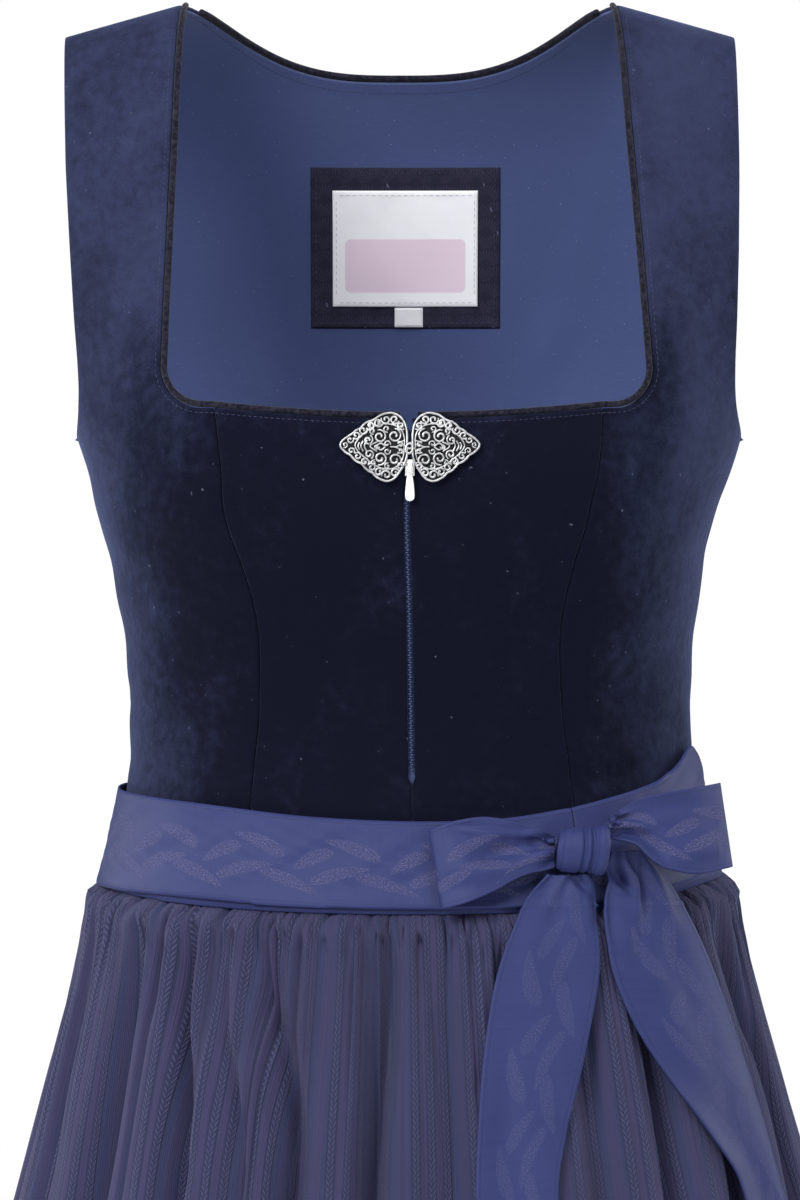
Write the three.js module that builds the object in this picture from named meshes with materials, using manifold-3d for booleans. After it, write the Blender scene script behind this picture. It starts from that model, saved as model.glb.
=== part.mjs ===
// A dirndl as it is worn: a sleeveless velvet bodice with a square neck, a zip and a two-piece clasp, a
// gathered skirt, and a gathered apron whose sash is tied in a bow.
// Millimetres, +Z up. The front faces -Y, and the wearer's left side is +X.
// The origin lies between the shoulders, at the height where the straps rest.
import * as THREE from 'three';
import { mergeVertices } from 'three/addons/utils/BufferGeometryUtils.js';
import Module from 'manifold-3d';

const wasm = await Module();
wasm.setup();

// ---------------------------------------------------------------- driving dimensions
const SEAM_GAP = 0.3;            // between two pieces that are sewn together
const VELVET = 1.5;              // wall of the bodice
const LINING = 1.0;
const SKIRT_CLOTH = 1.4;
const APRON_CLOTH = 1.2;
const RIBBON = 1.2;              // waistband, sash and bow
const SHOULDER_TOP = 7.7;        // height of the neck end of the shoulder seam
const SHOULDER_SLOPE = 0.275;    // fall of the shoulder seam towards the arm
const SLOPE_FADES_BY = 150;      // the fall is gone this far down the bodice
const SHOULDER_CURL = 20;        // below the shoulder, the cloth has run this much further than it drops
const NECK_HALF = 97;            // half the neck opening, at the shoulder seam
const BACK_NECK_FALL = 51;       // the back neck's centre, measured down the cloth
const ROUNDNESS = 2.4;           // exponent of the bodice's cross-sections: 2 is an ellipse
const SKIRT_ROUNDNESS = 2.05;
const WAIST_SEAM = -382;         // height of the waist seam at the sides and back
const WAIST_DIP = 7;             // the seam is this much lower at the front
const WAIST_ALONG = 410;         // the waist seam's section, measured down the cloth
const PRINCESS_TOP = 205;        // ends of the princess seam's table, measured down the cloth
const PRINCESS_END = 415;
const PRINCESS_WAIST_X = 74;     // where the princess seam meets the waist seam
const CORNER_RADIUS = 18;        // of the square neckline
const CORNER_X = 107;            // strap edge above the corner
const NECKLINE_Z = -177;         // neckline beside the corner
const NECKLINE_CENTRE_Z = -182;
const PANEL_START = 0.2;         // the front centre panels start this far below the corner
const CORNER_CLEARANCE = 0.4;    // between the corner's end and the princess seam
const SKIRT_HEM = -1030;
const APRON_HEM = -980;
const APRON_HALF_ANGLE = 97;     // the apron's side edges, from the front, in degrees
const SIDE_SEAM_ANGLE = 99;      // the skirt's side seams
const HALF_SEAM_DEGREES = 0.07;  // half a seam gap at the waist, as an angle
const SKIRT_FROM_Z = -390;       // sections come from the skirt's table below this height
const SKIRT_ROUND_BY_Z = -560;   // and are as round as the skirt's below this one
const PIPING_RADIUS = 1.4;
const ZIP_GAP = 2.6;             // between the two fronts, where the zip shows
const ZIP_END_Z = -334;
const CHAIN_BEHIND = 0.8;        // from the velvet's inner face to the zip's chain
const CHAIN_BELOW = 6;           // the chain runs on below the zip's end
const CLASP_CENTRE_X = 2.4;
const SLIDER_TOP_Z = -200;
const LABEL_CLEARANCE = 0.9;     // from the lining to the label's patch

const radians = THREE.MathUtils.degToRad;
const { lerp, clamp, smoothstep } = THREE.MathUtils;
const v3 = (x, y, z) => new THREE.Vector3(x, y, z);

// ---------------------------------------------------------------- tables
// A table's rows become functions of its first column, one for each other column, joined by smooth curves.
function table(names, rows) {
  const columns = names.split(' ');
  const slope = (k, i) => {
    const before = rows[Math.max(i - 1, 0)];
    const after = rows[Math.min(i + 1, rows.length - 1)];
    return (after[k] - before[k]) / (after[0] - before[0]);
  };
  const read = k => value => {
    const last = rows.length - 2;
    const i = clamp(rows.findIndex(row => row[0] > value) - 1, 0, last);
    const j = value >= rows[last + 1][0] ? last : i;
    const step = rows[j + 1][0] - rows[j][0];
    const t = clamp((value - rows[j][0]) / step, 0, 1);
    const [a, b] = [rows[j][k], rows[j + 1][k]];
    const [ma, mb] = [slope(k, j) * step, slope(k, j + 1) * step];
    return a + t * (ma + t * (3 * (b - a) - 2 * ma - mb + t * (2 * (a - b) + ma + mb)));
  };
  return Object.fromEntries(columns.slice(1).map((name, n) => [name, read(n + 1)]));
}

// Bodice sections from the shoulder seam down the cloth: the drop below the seam's neck end, how far the
// front and the back stand from the side plane, and the half width that the section would close at.
const bodice = table('along drop front back half', [
  [0, 0, 0, 0, 165],
  [8, 0.8, 10.5, 11, 165],
  [16, 3.1, 20.5, 22, 165],
  [26, 8.2, 31, 34.5, 165],
  [38, 16.5, 40.5, 47.5, 165],
  [52, 28.5, 49.5, 60.5, 165],
  [66, 43, 57.5, 71, 165],
  [80, 60, 64.5, 80, 165],
  [110, 90, 76, 90, 165],
  [140, 120, 87, 96, 164.5],
  [165, 145, 95, 99, 162.5],
  [184, 164, 100.5, 100, 158],
  [200, 180, 105, 99.5, 152.5],
  [215.7, 195.7, 109, 98, 148.7],
  [235.7, 215.7, 111, 95.5, 142.4],
  [262.7, 242.7, 107.5, 91, 135],
  [287.7, 267.7, 101, 86.5, 130.3],
  [305.7, 285.7, 97, 84, 127.4],
  [324.7, 304.7, 94, 82.5, 126.3],
  [347.7, 327.7, 92.5, 82, 125.8],
  [370.7, 350.7, 95, 85.5, 127.5],
  [392.7, 372.7, 100, 91.5, 132],
  [409.7, 389.7, 105, 97, 136.8],
  [420, 400, 109, 101, 140.3],
]);
const UNDERARM = 215.7;          // along the cloth, where the side seam starts

// Half width of the cloth at the armhole edge, above the underarm.
const armhole = table('along x', [
  [0, 150.5], [80, 149.8], [120, 148.5], [160, 146.5], [190, 145], [204, 146], [UNDERARM, 148.7],
]);

// Where the princess seam lies on each side of the front, down the cloth.
const princess = table('along x', [
  [PRINCESS_TOP, 84], [227, 82], [254, 78], [272, 72], [293, 66.5], [309, 65],
  [328, 65.5], [340, 66], [356, 68], [373, 70], [PRINCESS_END, PRINCESS_WAIST_X],
]);

// Skirt sections below the waist seam, by height, lowest first.
const skirt = table('z half front back', [
  [SKIRT_HEM, 313, 273, 278],
  [-920, 283, 246, 250],
  [-820, 256, 221, 224],
  [-720, 229, 196, 198],
  [-620, 202, 171, 172],
  [-530, 177.6, 148, 148],
  [-480, 164, 135, 134],
  [-440, 153, 124, 121],
  [-412, 145.5, 116, 110],
  [-392.3, 140.3, 109, 101],
]);

// How far the middle of the garment lies to one side, because it doesn't hang quite straight.
const sway = table('z x', [
  [-1040, 6], [-530, 6], [-440, 5], [-385, 4], [-320, 3], [-260, 2], [-220, 1], [-203, 2.4], [-186, 2.2],
  [-172, 1.4], [-100, 0], [8, -2.2],
]);

// The valleys between the skirt's big folds: where each lies round the skirt, in degrees from the front,
// and how deep it is next to the deepest.
const VALLEYS = [
  [-99, 0.7], [-86, 0.8], [-72, 0.7], [-58, 0.9], [-41.5, 1], [-31, 0.45], [-22.6, 0.9], [-8.4, 1], [5, 0.6],
  [18, 0.8], [31, 0.6], [43, 0.9], [56, 0.7], [70, 0.9], [84, 0.7], [99, 0.8], [113, 0.9], [128, 0.75],
  [141, 1], [156, 0.8], [169, 0.9], [183, 0.7], [197, 1], [210, 0.8], [225, 0.9], [240, 0.75], [261, 0.7],
];

// Depth of the big folds, and of the small gathers under the seam, by the distance below the seam.
const foldDepth = table('below big gather', [
  [0, 0, 0], [5, 0.6, 1.6], [14, 1.6, 2.7], [32, 3.4, 2], [60, 5.5, 1.1], [110, 8, 0.3], [180, 10, 0],
  [270, 12, 0], [370, 13.5, 0], [480, 15, 0], [660, 17, 0],
]);
const apronOut = table('below out', [[0, 2.1], [5, 3.9], [14, 4.9], [32, 4.7], [80, 4.4], [700, 4.4]]);
const GATHERS = { apron: 50, back: 38 };

// Edges of the sash, by the angle from the front: over the front, and round the right side and back.
const sashFront = table('angle top bottom', [
  [-99, -343, -384.5], [-75, -344.5, -386.5], [-50, -348, -388], [-25, -353, -391], [0, -355, -392.3],
  [20, -354.5, -391.8], [36, -352, -390],
]);
const sashBack = table('angle top bottom', [
  [38, -349, -389], [50, -345.5, -386], [60, -342.5, -383], [69, -337, -379], [78, -328, -372],
  [92, -331, -373.5], [115, -339, -380], [150, -343.5, -385], [200, -344, -385.5], [261, -343, -384.5],
]);

// ---------------------------------------------------------------- cloth
// A point of a surface and the direction out of the cloth there, from short steps along both ways of it.
function pointOf(surface, u, v) {
  const step = 1e-3;
  const across = surface(Math.min(u + step, 1), v).sub(surface(Math.max(u - step, 0), v));
  const down = surface(u, Math.min(v + step, 1)).sub(surface(u, Math.max(v - step, 0)));
  return { u, point: surface(u, v), out: across.cross(down).normalize() };
}

// The same, with the direction turned to face away from the garment's middle.
function facingOut(surface, u, v) {
  const found = pointOf(surface, u, v);
  const away = v3(found.point.x / 2, found.point.y, 40);
  if (found.out.dot(away) < 0) found.out.negate();
  return found;
}

// Rows of points for a surface: the shares across it and down it at which they lie.
const evenly = steps => Array.from({ length: steps + 1 }, (_, n) => n / steps);
const gridOf = (surface, across, down, turn = facingOut) =>
  down.map(v => across.map(u => turn(surface, u, v)));

// The cloth's edges at the shoulder seam are cut square, so that the two straps meet without crossing.
function squareAtShoulder(rows) {
  for (const { point, out } of rows[0]) {
    if (Math.abs(point.y) < 1) out.setY(0).normalize();
  }
  return rows;
}

const movedOut = (rows, distance) => rows.map(row => row.map(({ u, point, out }) =>
  ({ u, point: point.clone().addScaledVector(out, distance), out })));

function closedGeometry(positions, triangles) {
  const corner = n => v3(...positions.slice(3 * n, 3 * n + 3));
  const volume = triangles.reduce((sum, [a, b, c]) => sum + corner(a).dot(corner(b).cross(corner(c))), 0);
  const order = volume < 0 ? triangles.map(([a, b, c]) => [a, c, b]) : triangles;
  const geometry = new THREE.BufferGeometry();
  geometry.setAttribute('position', new THREE.Float32BufferAttribute(positions, 3));
  geometry.setIndex(order.flat());
  geometry.computeVertexNormals();
  return geometry;
}

// One cloth wall: its outer face through the rows' points, its inner face one thickness further in, and
// rims along its four edges. Two rows may have different numbers of points: they are joined by their shares
// across the cloth.
function clothWall(rows, thickness) {
  const positions = [];
  const add = point => positions.push(point.x, point.y, point.z) / 3 - 1;
  const outer = rows.map(row => row.map(({ point }) => add(point)));
  const inner = movedOut(rows, -thickness).map(row => row.map(({ point }) => add(point)));
  const triangles = [];
  const faces = (grid, flip) => {
    const tri = (a, b, c) => triangles.push(flip ? [a, c, b] : [a, b, c]);
    for (let r = 0; r + 1 < grid.length; r++) {
      const [upper, lower] = [grid[r], grid[r + 1]];
      const share = (row, n) => (n < row.length ? row[n].u : Infinity);
      let [i, j] = [0, 0];
      while (i + 1 < upper.length || j + 1 < lower.length) {
        if (share(rows[r], i + 1) <= share(rows[r + 1], j + 1) + 1e-9) {
          tri(upper[i], lower[j], upper[i + 1]);
          i += 1;
        } else {
          tri(upper[i], lower[j], lower[j + 1]);
          j += 1;
        }
      }
    }
  };
  const rim = (outside, inside) => {
    for (let n = 0; n + 1 < outside.length; n++) {
      triangles.push([outside[n], outside[n + 1], inside[n]], [outside[n + 1], inside[n + 1], inside[n]]);
    }
  };
  const edge = (grid, pick) => grid.map(pick);
  faces(outer, false);
  faces(inner, true);
  rim(outer[0], inner[0]);
  rim([...outer.at(-1)].reverse(), [...inner.at(-1)].reverse());
  rim(edge(outer, row => row[0]).reverse(), edge(inner, row => row[0]).reverse());
  rim(edge(outer, row => row.at(-1)), edge(inner, row => row.at(-1)));
  return closedGeometry(positions, triangles);
}

// ---------------------------------------------------------------- materials and the group
const finish = (color, roughness, metalness = 0) =>
  new THREE.MeshStandardMaterial({ color, roughness, metalness });
const MATERIALS = {
  velvet: finish(0x1a1e3a, 0.95),
  lining: finish(0x37446f, 0.9),
  satin: finish(0x4a5490, 0.5),
  apronCloth: finish(0x46466c, 0.85),
  skirtCloth: finish(0x25294a, 0.9),
  silver: finish(0xb4b2aa, 0.35, 1),
  labelDark: finish(0x22213a, 0.9),
  labelLight: finish(0xe6e6ea, 0.85),
};

const dirndl = new THREE.Group();
function sew(name, geometry, material) {
  const mesh = new THREE.Mesh(geometry, MATERIALS[material].clone());
  mesh.name = name;
  dirndl.add(mesh);
  return mesh;
}

// ---------------------------------------------------------------- bodice
// A point of the bodice's front (towards = -1) or back (towards = 1) face, at a turn from the middle to the
// side and a distance down the cloth, on the side of the garment that the sign gives.
function bodicePoint(towards, sign, turn, along) {
  const depth = towards < 0 ? bodice.front(along) : bodice.back(along);
  const share = 2 / ROUNDNESS;
  const x = bodice.half(along) * Math.sin(turn) ** share;
  const y = towards * (SEAM_GAP / 2 + depth * Math.max(Math.cos(turn), 0) ** share);
  const fade = 1 - smoothstep(along, 0, SLOPE_FADES_BY);
  const z = SHOULDER_TOP - bodice.drop(along) - SHOULDER_SLOPE * Math.max(x - NECK_HALF, 0) * fade;
  return v3(sign * x + sway.x(z), y, z);
}

const turnAt = (x, along) => Math.asin(Math.min(x / bodice.half(along), 1) ** (ROUNDNESS / 2));
const outerTurn = along => (along < UNDERARM ? turnAt(armhole.x(along), along) : Math.PI / 2);
const alongAt = z => SHOULDER_TOP + SHOULDER_CURL - z;
const WAIST_HALF = bodice.half(WAIST_ALONG);
const seamZ = x => WAIST_SEAM - WAIST_DIP * (1 - (x / WAIST_HALF) ** 2);
const waistAlong = x => alongAt(seamZ(x));

// The front side panel's inner edge: the strap's neck edge, the round corner, then the princess seam; and
// its outer edge at the same rows: the armhole, then the side seam.
const cornerAlong = alongAt(NECKLINE_Z);
const cornerArc = [0, 22.5, 45, 67.5, 90].map(degrees => ({
  x: CORNER_X - CORNER_RADIUS * (1 - Math.cos(radians(degrees))),
  along: cornerAlong - CORNER_RADIUS * (1 - Math.sin(radians(degrees))),
}));
const strapX = along => lerp(NECK_HALF, CORNER_X, along / (cornerAlong - CORNER_RADIUS));
const strapRows = [0, 8, 16, 26, 38, 52, 68, 88, 114, 142, 166];
const seamRows = [224, 246, 268, 292, 318, 346, 374, 398];
const innerEdge = [
  ...strapRows.map(along => ({ x: strapX(along), along })),
  ...cornerArc,
  { x: princess.x(PRINCESS_TOP) + CORNER_CLEARANCE, along: cornerAlong + PANEL_START },
  ...seamRows.map(along => ({ x: princess.x(along) + SEAM_GAP / 2, along })),
  { x: PRINCESS_WAIST_X + SEAM_GAP / 2, along: waistAlong(PRINCESS_WAIST_X) },
];
const outerEdge = [0, 8, 16, 26, 38, 52, 68, 88, 114, 142, 168, 182, 192, 200, 207, 212, UNDERARM,
  228, 248, 269, 292, 318, 345, 372, 394, waistAlong(WAIST_HALF)];

const cloned = (rows, sign) => rows.map(row => row.map(({ u, point, out }) => ({
  u, point: v3(sign * point.x + sway.x(point.z), point.y, point.z), out: v3(sign * out.x, out.y, out.z),
})));
const unswayed = point => v3(point.x - sway.x(point.z), point.y, point.z);

const SIDE_COLUMNS = 6;
const sideSurface = (u, v) => {
  const n = v * (innerEdge.length - 1);
  const i = Math.min(Math.floor(n), innerEdge.length - 2);
  const t = n - i;
  const [above, below] = [innerEdge[i], innerEdge[i + 1]];
  const innerAlong = lerp(above.along, below.along, t);
  const outerAlong = lerp(outerEdge[i], outerEdge[i + 1], t);
  const along = lerp(innerAlong, outerAlong, u);
  const turn = lerp(turnAt(lerp(above.x, below.x, t), innerAlong), outerTurn(outerAlong), u);
  const x = WAIST_HALF * Math.sin(turn) ** (2 / ROUNDNESS);
  const straight = lerp(waistAlong(PRINCESS_WAIST_X), waistAlong(WAIST_HALF), u);
  const toSeam = (waistAlong(x) - straight) * smoothstep(along, 380, straight);
  return unswayed(bodicePoint(-1, 1, turn, along + toSeam));
};
const sideRows = squareAtShoulder(gridOf(sideSurface, evenly(SIDE_COLUMNS), evenly(innerEdge.length - 1)));

// The front centre panel runs from the zip to the princess seam, whose points it shares with the side panel.
const seamAlong = [cornerAlong + PANEL_START, ...seamRows, waistAlong(PRINCESS_WAIST_X)];
const zipEdge = along => (along < alongAt(ZIP_END_Z) ? ZIP_GAP / 2 : SEAM_GAP / 2);
const centreSurface = (u, v) => {
  const n = v * (seamAlong.length - 1);
  const i = Math.min(Math.floor(n), seamAlong.length - 2);
  const seam = lerp(seamAlong[i], seamAlong[i + 1], n - i);
  const seamX = lerp(princess.x(seamAlong[i]), princess.x(seamAlong[i + 1]), n - i) - SEAM_GAP / 2;
  const dip = lerp(NECKLINE_Z - NECKLINE_CENTRE_Z, waistAlong(0) - waistAlong(PRINCESS_WAIST_X), v);
  const x = lerp(zipEdge(seam), seamX, u);
  return unswayed(bodicePoint(-1, 1, turnAt(x, seam), seam + dip * (1 - u * u)));
};
const centreRows = gridOf(centreSurface, evenly(6), evenly(seamAlong.length - 1));

for (const [side, sign] of [['right', -1], ['left', 1]]) {
  sew(`bodice_front_centre_${side}`, clothWall(cloned(centreRows, sign), VELVET), 'velvet');
  sew(`bodice_front_side_${side}`, clothWall(cloned(sideRows, sign), VELVET), 'velvet');
}

// The back is one piece with its two straps, and its cotton lining follows it inside. Their columns keep
// the corner where the neck meets the shoulder seam.
const NECK_SHARE = (turnAt(NECK_HALF, 0) / outerTurn(0)) ** (1 / 1.2);
const backNeckFall = share => BACK_NECK_FALL * (1 - Math.min(share / NECK_SHARE, 1) ** 3);
const backShares = [1, 0.89, 0.78, 0.67, NECK_SHARE, 0.45, 0.34, 0.23, 0.115];
const backAcross = [...backShares.map(share => -share), 0, ...[...backShares].reverse()];
const BACK_DOWN = [0, 0.022, 0.05, 0.085, 0.13, 0.19, 0.27, 0.36, 0.44, 0.49,
  UNDERARM / waistAlong(WAIST_HALF), 0.58, 0.65, 0.73, 0.81, 0.9, 1];
function backSurface(u, v) {
  const share = Math.abs(2 * u - 1);
  const along = lerp(backNeckFall(share), waistAlong(WAIST_HALF), v);
  return bodicePoint(1, Math.sign(u - 0.5), outerTurn(along) * share ** 1.2, along);
}
const backColumns = backAcross.map(share => (share + 1) / 2);
const backRows = squareAtShoulder(gridOf(backSurface, backColumns, BACK_DOWN));
sew('bodice_back', clothWall(backRows, VELVET), 'velvet');
sew('lining_back', clothWall(movedOut(backRows, -VELVET - SEAM_GAP), LINING), 'lining');

// ---------------------------------------------------------------- neck piping
// A round bar through rings of points, closed at both ends.
function bar(rings) {
  const sides = rings[0].length;
  const positions = rings.flat().flatMap(point => point.toArray());
  const triangles = [];
  for (let n = 0; n + 1 < rings.length; n++) {
    for (let k = 0; k < sides; k++) {
      const [a, b] = [n * sides + k, n * sides + (k + 1) % sides];
      triangles.push([a, b, a + sides], [b, b + sides, a + sides]);
    }
  }
  const last = (rings.length - 1) * sides;
  for (let k = 1; k + 1 < sides; k++) {
    triangles.push([0, k + 1, k], [last, last + k, last + k + 1]);
  }
  return closedGeometry(positions, triangles);
}

// A covered cord along an edge of the cloth, lying just outside it, in the middle of its thickness.
const PIPING_SIDES = 6;
function piping(rows, towards) {
  return bar(rows.map(({ point, out }, n) => {
    const tangent = rows[Math.min(n + 1, rows.length - 1)].point.clone().sub(rows[Math.max(n - 1, 0)].point);
    const side = tangent.normalize().cross(out).normalize();
    if (side.dot(towards(point)) < 0) side.negate();
    const centre = point.clone().addScaledVector(side, PIPING_RADIUS + 1.5 * SEAM_GAP)
      .addScaledVector(out, -VELVET / 2);
    return evenly(PIPING_SIDES).slice(1).map(share => centre.clone()
      .addScaledVector(side, PIPING_RADIUS * Math.cos(2 * Math.PI * share))
      .addScaledVector(out, PIPING_RADIUS * Math.sin(2 * Math.PI * share)));
  }));
}
const neckCentre = point => v3(-point.x, 0, 100 - Math.abs(point.x));
for (const [side, sign] of [['right', -1], ['left', 1]]) {
  const strapEdge = cloned(sideRows, sign).slice(1, strapRows.length + 5).map(row => row[0]);
  const centreEdge = [...cloned(centreRows, sign)[0]].reverse().slice(1, -1);
  sew(`neck_piping_${side}`, piping([...strapEdge, ...centreEdge], neckCentre), 'velvet');
}
const neckCorner = backShares.indexOf(NECK_SHARE);
const backNeckEdge = backRows[0].slice(neckCorner + 1, -neckCorner - 1);
sew('neck_piping_back', piping(backNeckEdge, () => v3(0, 0, 1)), 'velvet');

// ---------------------------------------------------------------- rings round the waist and skirt
// A point round the garment at an angle from the front and a height, moved out from its cross-section there.
function ringPoint(degrees, z, out) {
  const angle = radians(degrees);
  const front = Math.abs(((degrees + 540) % 360) - 180) < 90;
  const onSkirt = z < SKIRT_FROM_Z;
  const half = (onSkirt ? skirt.half(z) : bodice.half(alongAt(z))) + out;
  const depths = onSkirt ? { front: skirt.front(z), back: skirt.back(z) }
    : { front: bodice.front(alongAt(z)), back: bodice.back(alongAt(z)) };
  const depth = (front ? depths.front : depths.back) + out;
  const n = lerp(SKIRT_ROUNDNESS, ROUNDNESS, smoothstep(z, SKIRT_ROUND_BY_Z, SKIRT_FROM_Z));
  const reach = (Math.abs(Math.sin(angle) / half) ** n + Math.abs(Math.cos(angle) / depth) ** n) ** (-1 / n);
  return v3(reach * Math.sin(angle) + sway.x(z), -reach * Math.cos(angle), z);
}

// How far the cloth falls back between its big folds at an angle: 0 on a ridge, up to 1 in a valley.
function valleyAt(degrees) {
  const next = clamp(VALLEYS.findIndex(([angle]) => angle > degrees), 1, VALLEYS.length - 1);
  const [[a, depthA], [b, depthB]] = [VALLEYS[next - 1], VALLEYS[next]];
  const t = clamp((degrees - a) / (b - a), 0, 1);
  const sharp = 1 - Math.sin(Math.PI * t);
  const soft = (1 + Math.cos(2 * Math.PI * t)) / 2;
  return lerp(depthA, depthB, t) * (sharp + soft) / 2;
}

// A gathered panel between two angles. Its rows lie at distances below its top edge. The rows by the seam
// have a point on each ridge and in each valley of the gathers, and the rows below have four to a big fold.
const GATHER_DROPS = [0, 10];
const FOLD_DROPS = [34, 80, 160, 270, 400, 1];
function gatheredPanel({ from, to, gathers, topAt, hem, outAt }) {
  const pointAt = (degrees, drop) => {
    const u = (degrees - from) / (to - from);
    const top = topAt(degrees);
    const below = drop === 1 ? top - hem : drop;
    const uneven = 0.8 + 0.2 * Math.sin(0.37 * degrees);
    const small = foldDepth.gather(below) * uneven * (1 - Math.cos(2 * Math.PI * gathers * u)) / 2;
    const big = foldDepth.big(below) * valleyAt(degrees);
    // The wall's thickness is laid on straight towards the middle, so that it can't cross itself in a fold.
    const out = v3(Math.sin(radians(degrees)), -Math.cos(radians(degrees)), 0);
    return { u, out, point: ringPoint(degrees, top - below, outAt(below) - small - big) };
  };
  const quarters = VALLEYS.slice(1).flatMap(([angle], n) => evenly(4).slice(1)
    .map(t => lerp(VALLEYS[n][0], angle, t))).filter(angle => angle > from + 0.5 && angle < to - 0.5);
  const atFolds = [from, ...quarters, to];
  const atGathers = gathers ? evenly(2 * gathers).map(u => lerp(from, to, u)) : atFolds;
  return [...GATHER_DROPS.map(drop => atGathers.map(angle => pointAt(angle, drop))),
    ...FOLD_DROPS.map(drop => atFolds.map(angle => pointAt(angle, drop)))];
}

// ---------------------------------------------------------------- skirt
function waistSeam(degrees) {
  const { x } = ringPoint(degrees, WAIST_SEAM, 0);
  const across = Math.min(Math.abs(x - sway.x(WAIST_SEAM)), WAIST_HALF);
  return (Math.cos(radians(degrees)) > 0 ? seamZ(across) : WAIST_SEAM) - 2 * SEAM_GAP;
}
const skirtPanels = {
  skirt_front: { from: -SIDE_SEAM_ANGLE, to: SIDE_SEAM_ANGLE, gathers: 0 },
  skirt_back: { from: SIDE_SEAM_ANGLE, to: 360 - SIDE_SEAM_ANGLE, gathers: GATHERS.back },
};
for (const [name, { from, to, gathers }] of Object.entries(skirtPanels)) {
  const rows = gatheredPanel({
    from: from + HALF_SEAM_DEGREES, to: to - HALF_SEAM_DEGREES, gathers, topAt: waistSeam, hem: SKIRT_HEM,
    outAt: () => 0,
  });
  sew(name, clothWall(rows, SKIRT_CLOTH), 'skirtCloth');
}

// ---------------------------------------------------------------- apron
const sashTop = degrees => sashFront.top(clamp(degrees, -99, 36));
const sashBottom = degrees => (degrees < 37 ? sashFront.bottom(degrees) : sashBack.bottom(degrees));
const BAND_SHOWS = 1.9;                  // the waistband reaches this far below the sash
const BAND = { width: 38, side: -384.5, front: -392.3 };
const bandBottom = degrees =>
  lerp(BAND.side, BAND.front, Math.max(Math.cos(radians(degrees)), 0)) - BAND_SHOWS;
const apronPanel = { from: -APRON_HALF_ANGLE, to: APRON_HALF_ANGLE, gathers: GATHERS.apron,
  topAt: degrees => bandBottom(degrees) - 2 * SEAM_GAP, hem: APRON_HEM, outAt: apronOut.out };
sew('apron', clothWall(gatheredPanel(apronPanel), APRON_CLOTH), 'apronCloth');

// A ribbon that lies round the waist between two angles.
function waistRibbon({ from, to, steps, top, bottom, out }) {
  const surface = (u, v) => {
    const degrees = lerp(from, to, u);
    return ringPoint(degrees, lerp(top(degrees), bottom(degrees), v), out);
  };
  return clothWall(gridOf(surface, evenly(steps), evenly(3)), RIBBON);
}
const BAND_OUT = 1.1 + RIBBON;            // from the bodice's section to each ribbon's outer face
const SASH_OUT = BAND_OUT + 0.8 + RIBBON;
const sashes = {
  apron_waistband: { from: -APRON_HALF_ANGLE, to: APRON_HALF_ANGLE, steps: 40, out: BAND_OUT,
    top: degrees => bandBottom(degrees) + BAND.width, bottom: bandBottom },
  sash_front: { from: -99 + HALF_SEAM_DEGREES, to: 36, steps: 28, out: SASH_OUT, top: sashTop,
    bottom: sashBottom },
  sash_back: { from: 38, to: 261 - HALF_SEAM_DEGREES, steps: 44, out: SASH_OUT, top: sashBack.top,
    bottom: sashBack.bottom },
};
for (const [name, ribbon] of Object.entries(sashes)) sew(name, waistRibbon(ribbon), 'satin');

// ---------------------------------------------------------------- bow
// Each loop is one ribbon that leaves the knot, turns back at its tip and returns behind itself. A row gives
// both edges of the ribbon at one place along it.
const LOOPS = {
  bow_loop_right: [
    { top: [62.2, -362.5], bottom: [62.2, -374.5], y: -106.5 },
    { top: [50, -355.5], bottom: [50, -378], y: -111 },
    { top: [36, -352.8], bottom: [38, -384], y: -113.5 },
    { top: [22.5, -356.7], bottom: [27, -388.5], y: -115 },
    { top: [11, -361.5], bottom: [17.5, -391.3], y: -113 },
    { top: [9, -362], bottom: [15.8, -391.5], y: -110.4 },
    { top: [11.5, -362], bottom: [18, -390.5], y: -108 },
    { top: [30, -362], bottom: [32, -386], y: -107.2 },
    { top: [48, -362], bottom: [48, -378], y: -105 },
    { top: [61.6, -364], bottom: [61.6, -374], y: -102 },
  ],
  bow_loop_left: [
    { top: [85.8, -359], bottom: [85.8, -371.5], y: -105.4 },
    { top: [100, -353], bottom: [100, -375], y: -104.5 },
    { top: [112, -349.5], bottom: [112, -377.5], y: -102 },
    { top: [125, -345.2], bottom: [126, -378.3], y: -95.5 },
    { top: [135, -341.6], bottom: [139, -376], y: -87 },
    { top: [137.4, -341], bottom: [142.2, -375.3], y: -82.5 },
    { top: [134, -342], bottom: [138, -375], y: -79.5 },
    { top: [119, -348], bottom: [121, -374], y: -83.5 },
    { top: [103, -354], bottom: [103, -372], y: -90 },
    { top: [87.2, -359], bottom: [87.2, -370], y: -96 },
  ],
};
const KNOT = { x: 74, y: -107.2, z: -367, width: 23, depth: 16.6, height: 20 };
// A loop leans out with the front of the garment, which flares below the waist.
const leanAt = z => bodice.front(alongAt(z)) - bodice.front(alongAt(KNOT.z));
for (const [name, rows] of Object.entries(LOOPS)) {
  const line = key => new THREE.CatmullRomCurve3(rows.map(({ [key]: [x, z], y }) =>
    v3(x, y - leanAt(z), z)), false, 'centripetal');
  const [topLine, bottomLine] = [line('top'), line('bottom')];
  const surface = (u, v) => topLine.getPoint(u).lerp(bottomLine.getPoint(u), v);
  sew(name, clothWall(gridOf(surface, evenly(22), evenly(3), pointOf), RIBBON), 'satin');
}

const knot = sew('bow_knot', new THREE.SphereGeometry(0.5, 14, 9), 'satin');
knot.scale.set(KNOT.width, KNOT.depth, KNOT.height);
knot.position.set(KNOT.x, KNOT.y, KNOT.z);

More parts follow.
